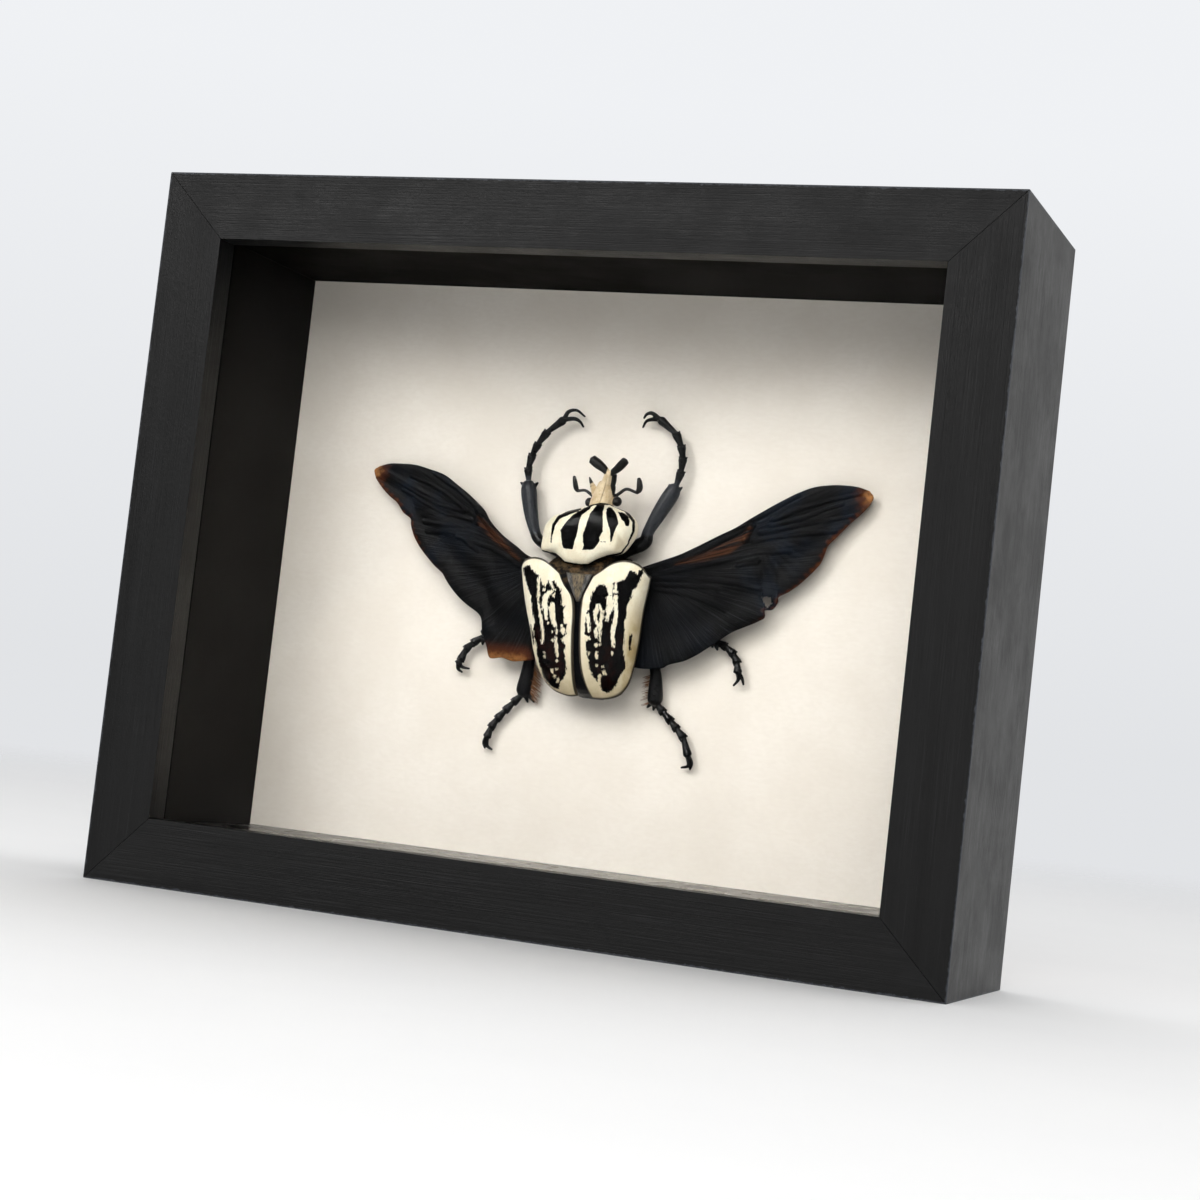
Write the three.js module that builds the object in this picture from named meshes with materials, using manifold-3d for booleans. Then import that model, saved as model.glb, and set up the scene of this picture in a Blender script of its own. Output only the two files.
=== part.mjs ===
// Framed goliath beetle: a deep black shadow box with glass, cream backing and a spread beetle.
// Millimetres, +Z up. The glass faces -Y, the box stands on Z = 0 and the origin is under its middle.
import * as THREE from 'three';
import { mergeVertices } from 'three/addons/utils/BufferGeometryUtils.js';
import Module from 'manifold-3d';

const wasm = await Module();
wasm.setup();

// Driving dimensions of the box
const FRAME_WIDTH = 250;
const FRAME_HEIGHT = 204;
const FRAME_DEPTH = 65;
const RAIL_FACE = 19;
const LIP_DEPTH = 8;
const LIP_OVERHANG = 6;
const MITRE_GAP = 0.1;
const FIT_GAP = 0.2;
const GLASS_THICK = 2;
const LINER_THICK = 5;
const PAPER_DEPTH = 60;
const CARD_THICK = 1;
const PANEL_THICK = 2;

// Driving dimensions of the back's hardware
const TAB = { width: 6, thick: 0.45, out: 10, driven: 7 };
const HANGER = { length: 44, height: 8, sheet: 0.8, ear: 8, raise: 1.2, teeth: 9, toothDepth: 1.6 };
const NAIL = { shankRadius: 0.7, headRadius: 1.7, headThick: 0.5, length: 9 };

// Driving dimensions of the beetle, as heights above the paper
const REST_GAP = 0.3;
const CUT_GAP = 0.3;
const ELYTRON_TOP = 18.5;
const ELYTRON_EDGE = 12;
const ELYTRON_APEX = 10.5;
const ELYTRON_THICK = 1;
const PRONOTUM_TOP = 17.5;
const PRONOTUM_SIDE = 11;
const PRONOTUM_REAR = 14;
const WING_HEIGHT = 9;
const WING_THICK = 0.5;

// Places worked out from the dimensions
const HANGER_PROUD = HANGER.raise + HANGER.sheet;
const FRONT_Y = -(FRAME_DEPTH + FIT_GAP + HANGER_PROUD) / 2;
const REAR_Y = FRONT_Y + FRAME_DEPTH;
const PAPER_Y = FRONT_Y + PAPER_DEPTH;
const WALL = RAIL_FACE - LIP_OVERHANG;
const MIDDLE_Z = FRAME_HEIGHT / 2;
const BEETLE_Z = 100;

const framed = new THREE.Group();
framed.name = 'framed_goliath_beetle';

function material(color, roughness, metalness = 0) {
  return new THREE.MeshStandardMaterial({ color, roughness, metalness });
}

const BLACK_WOOD = () => material(0x1d1e1f, 0.55);
const BLACK_LINER = () => material(0x1b1a17, 0.8);
const STEEL = () => material(0xb4b6b8, 0.35, 1);
const IVORY = () => material(0xe9dfc6, 0.4);
const DARK_SHELL = () => material(0x17130f, 0.4);

function addPiece(parent, name, geometry, finish) {
  const mesh = new THREE.Mesh(geometry, finish);
  mesh.name = name;
  parent.add(mesh);
  return mesh;
}

// Closed solids and boolean cuts

function solidOf(geometry) {
  const bare = new THREE.BufferGeometry();
  bare.setAttribute('position', geometry.getAttribute('position').clone());
  if (geometry.index) bare.setIndex(geometry.index.clone());
  const welded = mergeVertices(bare, 1e-4);
  return new wasm.Manifold(new wasm.Mesh({
    numProp: 3,
    vertProperties: new Float32Array(welded.getAttribute('position').array),
    triVerts: new Uint32Array(welded.index.array),
  }));
}

function geometryOf(solid) {
  const mesh = solid.getMesh();
  const geometry = new THREE.BufferGeometry();
  geometry.setAttribute('position', new THREE.BufferAttribute(new Float32Array(mesh.vertProperties), 3));
  geometry.setIndex(new THREE.BufferAttribute(new Uint32Array(mesh.triVerts), 1));
  geometry.computeVertexNormals();
  return geometry;
}

function join(geometries) {
  return geometries.map(solidOf).reduce((whole, next) => whole.add(next));
}

function largestPiece(solid) {
  return solid.decompose().reduce((best, next) => (next.volume() > best.volume() ? next : best));
}

// A copy of a geometry grown about its own middle by a gap on every side
function grown(geometry, gap = CUT_GAP) {
  const copy = geometry.clone();
  copy.computeBoundingBox();
  const middle = copy.boundingBox.getCenter(new THREE.Vector3());
  const size = copy.boundingBox.getSize(new THREE.Vector3());
  copy.translate(-middle.x, -middle.y, -middle.z);
  copy.scale(1 + 2 * gap / size.x, 1 + 2 * gap / size.y, 1 + 2 * gap / size.z);
  copy.translate(middle.x, middle.y, middle.z);
  return copy;
}

// A closed solid through rings of points. Point i of a ring faces point n-1-i across its end cap.
function loft(rings) {
  const count = rings[0].length;
  const faces = [];
  const quad = (a, b, c, d) => faces.push(a, b, c, a, c, d);
  for (let r = 0; r + 1 < rings.length; r += 1) {
    for (let i = 0; i < count; i += 1) {
      const next = (i + 1) % count;
      quad(r * count + i, r * count + next, (r + 1) * count + next, (r + 1) * count + i);
    }
  }
  const last = (rings.length - 1) * count;
  for (let i = 0; i + 1 < count / 2; i += 1) {
    const across = count - 1 - i;
    quad(i, across, across - 1, i + 1);
    quad(last + i, last + i + 1, last + across - 1, last + across);
  }
  const geometry = new THREE.BufferGeometry().setFromPoints(rings.flat());
  geometry.setIndex(faces);
  if (solidOf(geometry).volume() < 0) geometry.setIndex(faces.reverse());
  return geometry;
}

// A limb through stations of [point, half width, half height]
function limb(stations, sides = 8) {
  const rings = stations.map(([point, wide, high], k) => {
    const before = stations[Math.max(k - 1, 0)][0];
    const after = stations[Math.min(k + 1, stations.length - 1)][0];
    const along = after.clone().sub(before).normalize();
    const side = new THREE.Vector3(along.y, -along.x, 0).normalize();
    const up = side.clone().cross(along);
    return Array.from({ length: sides }, (_, i) => {
      const angle = 2 * Math.PI * (i + 0.5) / sides;
      const place = point.clone().addScaledVector(side, wide * Math.sin(angle));
      return place.addScaledVector(up, high * Math.cos(angle));
    });
  });
  return loft(rings);
}

// A thin closed sheet over a patch: place(s, t) gives the middle of the sheet
function sheet(place, thick, rows, columns) {
  const rings = Array.from({ length: rows + 1 }, (_, r) => {
    const row = Array.from({ length: columns + 1 }, (_, c) => place(r / rows, c / columns));
    const over = row.map((p) => new THREE.Vector3(p.x, p.y, p.z + thick / 2));
    const under = row.map((p) => new THREE.Vector3(p.x, p.y, p.z - thick / 2));
    return [...over, ...under.reverse()];
  });
  return loft(rings);
}

// A point on the card, from x across and z up the frame, at a height above the paper
function onCard(x, z, height = 0) {
  return new THREE.Vector3(x, z - BEETLE_Z, height);
}

function edge(points) {
  return new THREE.CatmullRomCurve3(points.map(([x, z]) => onCard(x, z)), false, 'centripetal');
}

// A four-sided patch in plan: start and end edges run across, sides run along
function patch(sideA, sideB, start, end) {
  const corner = [start.getPoint(0), start.getPoint(1), end.getPoint(0), end.getPoint(1)];
  return (s, t) => {
    const point = sideA.getPointAt(s).multiplyScalar(1 - t).addScaledVector(sideB.getPointAt(s), t);
    point.addScaledVector(start.getPointAt(t), 1 - s).addScaledVector(end.getPointAt(t), s);
    point.addScaledVector(corner[0], -(1 - s) * (1 - t)).addScaledVector(corner[1], -(1 - s) * t);
    return point.addScaledVector(corner[2], -s * (1 - t)).addScaledVector(corner[3], -s * t);
  };
}

// The four mitred sides of the box: a section of [depth, inward] points is run along each side

function mitredBar(section, length) {
  const shape = new THREE.Shape(section.map(([depth, inward]) => new THREE.Vector2(depth, inward)));
  const geometry = new THREE.ExtrudeGeometry(shape, { depth: 1, bevelEnabled: false });
  const place = geometry.getAttribute('position');
  for (let i = 0; i < place.count; i += 1) {
    const reach = length / 2 - place.getY(i) - MITRE_GAP;
    place.setZ(i, place.getZ(i) > 0.5 ? reach : -reach);
  }
  const axes = new THREE.Matrix4().makeBasis(
    new THREE.Vector3(0, 1, 0), new THREE.Vector3(0, 0, 1), new THREE.Vector3(1, 0, 0));
  return geometry.applyMatrix4(axes);
}

const SIDES = [
  { name: 'bottom', turn: 0, length: FRAME_WIDTH, out: FRAME_HEIGHT / 2 },
  { name: 'left', turn: 1, length: FRAME_HEIGHT, out: FRAME_WIDTH / 2 },
  { name: 'top', turn: 2, length: FRAME_WIDTH, out: FRAME_HEIGHT / 2 },
  { name: 'right', turn: 3, length: FRAME_HEIGHT, out: FRAME_WIDTH / 2 },
];

// Tabs along each side, as distances from the side's middle
const TAB_PLACES = { bottom: [-70, 70], top: [-70, 70], left: [0], right: [0] };
const TAB_MIDDLE_Y = PAPER_DEPTH + CARD_THICK + PANEL_THICK + 2 * FIT_GAP + 0.1 + TAB.thick / 2;
const TAB_INWARD = WALL + (TAB.out - TAB.driven) / 2;

function tabBlock(along, clearance) {
  const length = TAB.out + TAB.driven;
  const block = new THREE.BoxGeometry(
    TAB.width + 2 * clearance, TAB.thick + 2 * clearance, length + 2 * clearance);
  return block.translate(along, TAB_MIDDLE_Y, TAB_INWARD);
}

const NAIL_X = HANGER.length / 2 - HANGER.ear / 2;
const NAIL_HOLE_RADIUS = NAIL.shankRadius + 0.15;

function nailHoles() {
  return [-NAIL_X, NAIL_X].map((x) => {
    const hole = new THREE.CylinderGeometry(NAIL_HOLE_RADIUS, NAIL_HOLE_RADIUS, NAIL.length + 1, 12);
    return hole.translate(x, FRAME_DEPTH - NAIL.length / 2 + 0.5, WALL / 2);
  });
}

function addFrame() {
  const rail = [[0, 0], [0, RAIL_FACE], [LIP_DEPTH, RAIL_FACE], [LIP_DEPTH, WALL], [FRAME_DEPTH, WALL],
    [FRAME_DEPTH, 0]];
  const linerStart = LIP_DEPTH + GLASS_THICK + 2 * FIT_GAP;
  const linerOut = WALL + FIT_GAP;
  const linerIn = WALL + LINER_THICK;
  const linerEnd = PAPER_DEPTH - FIT_GAP;
  const liner = [[linerStart, linerOut], [linerStart, linerIn], [linerEnd, linerIn], [linerEnd, linerOut]];
  let tabNumber = 1;
  for (const { name, turn, length, out } of SIDES) {
    const side = new THREE.Group();
    side.position.set(0, FRONT_Y, MIDDLE_Z);
    side.rotation.y = turn * Math.PI / 2;
    framed.add(side);
    const run = new THREE.Group();
    run.position.z = -out;
    side.add(run);
    let railSolid = solidOf(mitredBar(rail, length));
    const cuts = TAB_PLACES[name].map((along) => tabBlock(along, FIT_GAP));
    if (name === 'top') cuts.push(...nailHoles());
    for (const cut of cuts) railSolid = railSolid.subtract(solidOf(cut));
    addPiece(run, `rail_${name}`, geometryOf(railSolid), BLACK_WOOD());
    addPiece(run, `liner_${name}`, mitredBar(liner, length), BLACK_LINER());
    for (const along of TAB_PLACES[name]) {
      addPiece(run, `tab_${tabNumber}`, tabBlock(along, 0), STEEL());
      tabNumber += 1;
    }
  }
}

// A flat plate that fills the rebate, between two depths behind the front
function addPlate(name, depth, thick, finish) {
  const width = FRAME_WIDTH - 2 * WALL - 2 * FIT_GAP;
  const height = FRAME_HEIGHT - 2 * WALL - 2 * FIT_GAP;
  const plate = addPiece(framed, name, new THREE.BoxGeometry(width, thick, height), finish);
  plate.position.set(0, FRONT_Y + depth + thick / 2, MIDDLE_Z);
}

function addPlates() {
  addPlate('glass', LIP_DEPTH + FIT_GAP, GLASS_THICK, material(0xdfe8e6, 0.05));
  addPlate('backing_card', PAPER_DEPTH, CARD_THICK, material(0xece4d6, 0.9));
  addPlate('back_panel', PAPER_DEPTH + CARD_THICK + FIT_GAP, PANEL_THICK, material(0x7a5a3c, 0.8));
}

// Sawtooth hanger: a bent strip with teeth along its lower edge, nailed to the top rail's back
function addHanger() {
  const { length, height, sheet: thick, ear, raise, teeth, toothDepth } = HANGER;
  const half = length / 2;
  const bend = half - ear;
  const strip = new THREE.Shape([
    [-half, 0], [-bend, 0], [-bend + raise, raise], [bend - raise, raise], [bend, 0], [half, 0],
    [half, thick], [bend, thick], [bend - raise, raise + thick], [-bend + raise, raise + thick],
    [-bend, thick], [-half, thick],
  ].map(([x, y]) => new THREE.Vector2(x, y)));
  const geometry = new THREE.ExtrudeGeometry(strip, { depth: height, bevelEnabled: false });
  let solid = solidOf(geometry.translate(0, 0, -height / 2));
  const pitch = 2 * (bend - raise) / teeth;
  for (let i = 0; i < teeth; i += 1) {
    const x = (i - (teeth - 1) / 2) * pitch;
    const notch = new THREE.Shape([
      new THREE.Vector2(x - pitch * 0.42, -height), new THREE.Vector2(x + pitch * 0.42, -height),
      new THREE.Vector2(x + pitch * 0.42, -height / 2), new THREE.Vector2(x, -height / 2 + toothDepth),
      new THREE.Vector2(x - pitch * 0.42, -height / 2),
    ]);
    const prism = new THREE.ExtrudeGeometry(notch, { depth: 4 * HANGER_PROUD, bevelEnabled: false });
    solid = solid.subtract(solidOf(prism.rotateX(Math.PI / 2).translate(0, 2 * HANGER_PROUD, 0)));
  }
  for (const x of [-NAIL_X, NAIL_X]) {
    const hole = new THREE.CylinderGeometry(NAIL_HOLE_RADIUS, NAIL_HOLE_RADIUS, 4 * thick, 12);
    solid = solid.subtract(solidOf(hole.translate(x, 0, 0)));
  }
  const hangerZ = FRAME_HEIGHT - WALL / 2;
  const hanger = addPiece(framed, 'hanger', geometryOf(solid), STEEL());
  hanger.position.set(0, REAR_Y + FIT_GAP, hangerZ);
  const { shankRadius, headRadius, headThick, length: nailLength } = NAIL;
  const profile = [[0, 0], [shankRadius * 0.3, 0], [shankRadius, 1.5], [shankRadius, nailLength],
    [headRadius, nailLength], [headRadius, nailLength + headThick], [0, nailLength + headThick]];
  for (const [name, x] of [['hanger_nail_left', -NAIL_X], ['hanger_nail_right', NAIL_X]]) {
    const lathe = new THREE.LatheGeometry(profile.map(([r, y]) => new THREE.Vector2(r, y)), 12);
    const nail = addPiece(framed, name, lathe, STEEL());
    nail.position.set(x, REAR_Y + 2 * FIT_GAP + thick - nailLength, hangerZ);
  }
}

// Beetle: its trunk, lying along the card

function trunkGeometry() {
  // [z up the frame, middle x, half width, half height]
  const sections = [[107.5, -2, 11, 4.8], [103.5, -1.8, 14.4, 6.4], [97, -1.4, 14, 7.6],
    [90, -0.8, 14.2, 7.9], [83, -0.3, 13.6, 7.8], [76, 0.3, 11.8, 7], [71, 0.7, 9.2, 5.8],
    [68, 0.9, 6, 4.4], [66.6, 1, 3, 3]];
  const sides = 16;
  return loft(sections.map(([z, x, wide, high]) => Array.from({ length: sides }, (_, i) => {
    const angle = 2 * Math.PI * (i + 0.5) / sides;
    return onCard(x + wide * Math.sin(angle), z, REST_GAP + high * (1 + Math.cos(angle)));
  })));
}

// Pronotum: slices of one outline, shrinking up to a dome and down to the breast

const PRONOTUM_RIGHT = [[1.2, 122.8], [4.3, 121.7], [9.1, 120], [11.9, 117.2], [12.1, 114.5], [11, 111.7],
  [9, 108.4], [4.6, 107.1], [2.2, 106], [-0.7, 104.2]];
const PRONOTUM_LEFT = [[-4.1, 104], [-8, 104.4], [-11, 106.6], [-15.5, 107.3], [-16.4, 111], [-16.2, 114.5],
  [-14.1, 117.4], [-9.9, 119.4], [-4.6, 121], [-1.4, 122.2]];

function pronotumGeometry() {
  const outline = [...PRONOTUM_RIGHT, ...PRONOTUM_LEFT];
  const curve = new THREE.CatmullRomCurve3(outline.map(([x, z]) => onCard(x, z)), true, 'centripetal');
  const middle = onCard(-2.2, 113);
  // [share of the outline, share of the rise from the margin to the top]
  const slices = [[0.4, -1], [0.7, -0.75], [0.94, -0.15], [1, 0], [0.985, 0.2], [0.93, 0.46], [0.82, 0.72],
    [0.64, 0.9], [0.4, 0.98], [0.12, 1]];
  const count = 32;
  return loft(slices.map(([share, rise]) => Array.from({ length: count }, (_, i) => {
    const point = curve.getPoint((i + 0.5) / count);
    const rear = THREE.MathUtils.smoothstep(113 - BEETLE_Z - point.y, 0, 8);
    const margin = PRONOTUM_SIDE + (PRONOTUM_REAR - PRONOTUM_SIDE) * rear;
    const goal = rise > 0 ? PRONOTUM_TOP : 2;
    point.lerpVectors(middle, point, share);
    point.z = margin + (goal - margin) * Math.abs(rise);
    return point;
  })));
}

// Head: capsule, eyes, side horns, forked horn and antennae in one piece

function ball(x, z, height, radius) {
  const centre = onCard(x, z, height);
  return new THREE.SphereGeometry(radius, 10, 7).translate(centre.x, centre.y, centre.z);
}

// A limb through [x, z, height, half width] places
function rod(places, sides, flatten = 1) {
  return limb(places.map(([x, z, height, half]) => [onCard(x, z, height), half, half * flatten]), sides);
}

function headSolid() {
  const capsule = limb([
    [onCard(-0.8, 119, 9.5), 3, 2.4], [onCard(-0.4, 121, 9.8), 3.6, 3], [onCard(0, 123.5, 10.2), 3.5, 2.8],
    [onCard(0.4, 126, 10.8), 2.9, 2.2], [onCard(0.8, 128.4, 11.6), 1.8, 1.4]], 10);
  const horn = rod([[0.5, 126.5, 11.2, 1.7], [1.6, 129, 12.6, 1.4], [2.6, 131.2, 14, 1.2]], 8);
  const forkLeft = rod([[2.4, 130.4, 13.8, 0.8], [1, 132, 14.4, 0.95], [-2.7, 134.5, 15.2, 0.95]], 8);
  const forkRight = rod([[2.8, 130.4, 13.8, 0.8], [5, 132, 14.4, 0.95], [7.6, 134.7, 15.2, 0.95]], 8);
  const sideLeft = rod([[-2.2, 125, 10.4, 1.2], [-3.6, 128, 11, 0.7], [-4.4, 129.8, 11.4, 0.2]], 6);
  const sideRight = rod([[2.4, 125, 10.4, 1.2], [3.2, 127.2, 11, 0.7], [3.4, 128.5, 11.4, 0.2]], 6);
  const antennaLeft = rod([[-2.6, 124, 9.6, 0.5], [-6, 126, 9.6, 0.4], [-8.4, 125.7, 9.6, 0.4],
    [-8.9, 126.4, 9.6, 0.75], [-9.8, 129.9, 9.8, 0.55]], 6);
  const antennaRight = rod([[2.6, 124.4, 9.6, 0.5], [6.6, 127.2, 9.6, 0.4], [9.9, 126.4, 9.6, 0.4],
    [10.6, 127.4, 9.6, 0.9], [10.1, 130.6, 9.8, 0.65]], 6);
  return join([capsule, horn, forkLeft, forkRight, sideLeft, sideRight, antennaLeft, antennaRight,
    ball(-4, 122.6, 10, 1.4), ball(4.4, 123.4, 10, 1.4)]);
}

// Wing cases: a domed sheet from the inner edge to the outer margin

function elytronGeometry(inner, outer, front, rear) {
  const plan = patch(edge(inner), edge(outer), edge(front), edge(rear));
  const bulge = 2.8;
  return sheet((s, t) => {
    const across = Math.pow(Math.sin(t * Math.PI / 2), 0.8);
    const point = plan(s, across);
    const margin = THREE.MathUtils.lerp(ELYTRON_EDGE, ELYTRON_APEX, s);
    const length = Math.pow(1 - Math.pow(s, 3.4), 0.6) * (1 - 0.12 * Math.pow(1 - s, 8));
    const dome = Math.pow(1 - Math.pow(across, bulge), 1 / bulge);
    point.z = margin + (ELYTRON_TOP - margin) * dome * length;
    return point;
  }, ELYTRON_THICK, 12, 8);
}

const ELYTRON_RIGHT = {
  inner: [[2.9, 100.8], [1.7, 98], [0.4, 94.6], [0.2, 90], [0.6, 83], [1.4, 75], [2.4, 71], [3.9, 67]],
  outer: [[17.8, 102.7], [16.8, 98.5], [16.3, 92], [16.2, 84.5], [15.4, 77.2], [14.2, 72], [12.4, 68.8]],
  front: [[2.9, 100.8], [5.3, 102.7], [9, 105.5], [13.1, 106.2], [16.3, 105], [17.8, 102.7]],
  rear: [[3.9, 67], [7.4, 67], [10.1, 67.6], [12.4, 68.8]],
};
const ELYTRON_LEFT = {
  inner: [[-7.5, 100.7], [-5.1, 97.1], [-3.2, 94.6], [-2, 91], [-1.7, 84], [-1.8, 76], [-1.9, 67.4]],
  outer: [[-20.6, 101.5], [-19.3, 95.2], [-17.9, 90], [-16.1, 84.5], [-14.7, 79], [-13.1, 74.4],
    [-10.4, 69.8]],
  front: [[-7.5, 100.7], [-10, 102.7], [-13.2, 104.6], [-16.5, 105], [-19.2, 104], [-20.6, 101.5]],
  rear: [[-1.9, 67.4], [-4.4, 66.9], [-7.4, 67.6], [-10.4, 69.8]],
};

function scutellumGeometry() {
  const corners = [[-6, 101.4], [-5.3, 99.4], [-2.6, 94.6], [-1.4, 93.4], [-0.6, 94.6], [1.3, 99.4],
    [1.9, 101.4]];
  const shape = new THREE.Shape(corners.map(([x, z]) => new THREE.Vector2(x, z - BEETLE_Z)));
  return new THREE.ExtrudeGeometry(shape, { depth: 1, bevelEnabled: false }).translate(0, 0, 16);
}

// Hind wings: a thin rippled sheet from the root to the tip, between leading and trailing edges

const WING_LEFT = {
  leading: [[-12, 103.5], [-21.4, 105.9], [-30.5, 111.5], [-37.1, 118.2], [-46.7, 125.1], [-56.2, 129.1],
    [-65.7, 130.2], [-72.9, 128.9]],
  trailing: [[-12, 76.6], [-20.2, 75.8], [-29.9, 75.8], [-31.4, 78.2], [-33.4, 84.4], [-39, 89.9],
    [-47.1, 97], [-54.3, 103.4], [-59, 109.1], [-60.5, 113.7], [-65.7, 118.4], [-71.4, 122.7], [-74, 125.6]],
  root: [[-12, 103.5], [-11, 90], [-12, 76.6]],
  tip: [[-72.9, 128.9], [-74.5, 127.6], [-74, 125.6]],
};
const WING_RIGHT = {
  leading: [[10, 103.5], [19.5, 107.5], [30, 112.5], [40.5, 118.5], [49, 124.3], [58, 129.8], [66, 132.3],
    [74.5, 132.4], [78, 131.5]],
  trailing: [[10, 77], [17, 76.5], [23.5, 77.3], [33, 81.8], [38.5, 85.8], [46, 90.8], [50, 92.8],
    [51.8, 95.2], [55, 98.4], [58, 101.8], [64, 107.5], [67.3, 113.5], [70.5, 118.5], [76.5, 125],
    [78.6, 127.6]],
  root: [[10, 103.5], [10, 90], [10, 77]],
  tip: [[78, 131.5], [79.3, 129.8], [78.6, 127.6]],
};
const WING_HOLE = [[50.5, 99.2], [52.6, 99.2], [52, 96.8]];
const FOLDS = 5;

function wingGeometry({ leading, trailing, root, tip }) {
  const plan = patch(edge(leading), edge(trailing), edge(root), edge(tip));
  return sheet((s, t) => {
    const point = plan(s, t);
    const ripple = 0.35 * Math.sin(t * FOLDS * Math.PI) * Math.sin(s * Math.PI);
    point.z = WING_HEIGHT + ripple;
    return point;
  }, WING_THICK, 18, 10);
}

function wingHole() {
  const shape = new THREE.Shape(WING_HOLE.map(([x, z]) => new THREE.Vector2(x, z - BEETLE_Z)));
  return new THREE.ExtrudeGeometry(shape, { depth: 2 * WING_HEIGHT, bevelEnabled: false });
}

// Legs: [x, z, height, half width] places to the end of the shin, then foot joints, claws and spurs

const LEGS = {
  foreleg_left: {
    shin: [[-8, 106.5, 5.5, 1.8], [-15, 109, 5.5, 2], [-20.6, 111.2, 5.2, 1.5], [-22.2, 113.6, 5, 1.5],
      [-24.4, 119.5, 4.6, 2], [-26.1, 126.3, 4.2, 2.1], [-26.5, 128, 4.2, 1.4]],
    foot: [[-26.4, 128.2], [-27, 132], [-26.2, 136], [-24.8, 139.3], [-22.3, 143], [-17, 147.3]],
    spurs: [[[-26.9, 126.4], [-29, 127.7]], [[-24.6, 126.6], [-23.4, 128]]],
    claws: [[[-17.4, 147], [-16.4, 149.4], [-14, 150], [-11.2, 148.3]],
      [[-17.4, 147], [-14, 147.4], [-12.4, 146.6], [-11.3, 145.2]]],
    footHeight: 4,
  },
  foreleg_right: {
    shin: [[2, 106.5, 5.5, 1.8], [7, 110, 5.5, 2], [11.2, 113.6, 5.2, 1.7], [12.4, 116, 5, 1.6],
      [15.6, 122, 4.6, 2.1], [18.8, 128, 4.2, 2.1], [19.5, 129.8, 4.2, 1.4]],
    foot: [[19.6, 130], [20.6, 134], [20.7, 138], [19.8, 141.3], [17.8, 144.8], [12, 149]],
    spurs: [[[19.8, 127.8], [21.4, 129.6]], [[17.6, 128.4], [17.4, 130.2]]],
    claws: [[[12.4, 148.7], [9.5, 150.4], [7.9, 150], [7.1, 148.8]],
      [[12.4, 148.7], [10, 148.6], [8.1, 148], [7.1, 146.1]]],
    footHeight: 4,
  },
  middle_leg_left: {
    shin: [[-7, 95, 4.4, 2], [-15, 94, 4.6, 2.2], [-25, 91.5, 5, 1.6], [-30, 87, 4.2, 1.6],
      [-35, 82, 3.2, 1.8]],
    foot: [[-35.4, 81.6], [-38.7, 79.3], [-40.7, 77.3], [-42, 74], [-42.7, 72.7]],
    spurs: [[[-35.4, 80.8], [-35.6, 79]], [[-34.2, 80.8], [-33.8, 79.4]]],
    claws: [[[-42.6, 73], [-41.3, 72], [-39, 71.7]], [[-42.6, 73], [-42.6, 71.4], [-41.2, 70.4]]],
    footHeight: 3,
  },
  middle_leg_right: {
    shin: [[7, 95, 4.4, 2], [15, 94.5, 4.6, 2.2], [25, 93, 5, 1.6], [31, 90, 4.2, 1.6],
      [36.4, 86.8, 3.2, 1.8]],
    foot: [[36.8, 86.4], [39.3, 85.3], [42, 83.3], [43.3, 81], [43.8, 78]],
    spurs: [[[36.4, 85.8], [37, 84]], [[35.2, 86.4], [35.4, 84.6]]],
    claws: [[[43.8, 78.4], [44, 76.3], [42.7, 74.5]], [[43.8, 78.4], [45, 77], [45.7, 75]]],
    footHeight: 3,
  },
  hind_leg_left: {
    shin: [[-6, 84, 4.4, 2.2], [-13, 81.5, 4.6, 2.3], [-18.6, 79.4, 4.2, 1.6], [-19.6, 77, 3.8, 1.5],
      [-20.2, 71.5, 3.2, 1.9], [-20.9, 66.6, 3, 2], [-21.1, 65.4, 3, 1.2]],
    foot: [[-21.4, 65.6], [-23.7, 63.3], [-26, 60.7], [-28.3, 58], [-30, 55.3], [-31, 52]],
    spurs: [[[-20.3, 66], [-19.3, 63.6]], [[-19.4, 66.4], [-17.3, 63.8]]],
    claws: [[[-31, 52.4], [-31.8, 50.6], [-31.3, 49]], [[-31, 52.4], [-30.6, 49.8], [-29, 48.8]]],
    footHeight: 2.6,
  },
  hind_leg_right: {
    shin: [[6, 84, 4.4, 2.2], [12, 81.5, 4.6, 2.3], [18.2, 79.4, 4.2, 1.6], [19.4, 76.6, 3.8, 1.5],
      [19.8, 72, 3.2, 1.9], [20, 68, 3, 2], [20.1, 66.8, 3, 1.2]],
    foot: [[20.4, 67.2], [22.7, 65], [25.3, 62.7], [27.3, 60.7], [29.7, 58.3], [31.7, 53]],
    spurs: [[[19.2, 67.6], [17.6, 65.8]], [[20, 67.2], [19.6, 65.2]]],
    claws: [[[31.6, 53.4], [31.9, 50.7], [29.7, 49.9]], [[31.6, 53.4], [32.8, 51.4], [32.4, 49.6]]],
    footHeight: 2.6,
  },
};

// Foot joints are narrow where they start and flare where they end
function footPlaces(joints, height) {
  const places = [];
  for (let k = 0; k + 1 < joints.length; k += 1) {
    const [x0, z0] = joints[k];
    const [x1, z1] = joints[k + 1];
    for (const [share, half] of [[0.05, 0.55], [0.8, 0.95], [0.95, 0.6]]) {
      places.push([x0 + (x1 - x0) * share, z0 + (z1 - z0) * share, height, half]);
    }
  }
  return places;
}

function legSolid({ shin, foot, spurs, claws, footHeight }) {
  const main = rod([...shin, ...footPlaces(foot, footHeight)], 8, 0.85);
  const hooks = claws.map((points) => rod(points.map(([x, z], k) =>
    [x, z, footHeight - 0.25 * k, 0.5 - 0.36 * k / (points.length - 1)]), 6));
  const spikes = spurs.map(([[x0, z0], [x1, z1]]) =>
    rod([[x0, z0, footHeight + 0.2, 0.55], [x1, z1, footHeight - 0.2, 0.14]], 6));
  return join([main, ...hooks, ...spikes]);
}

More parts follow.
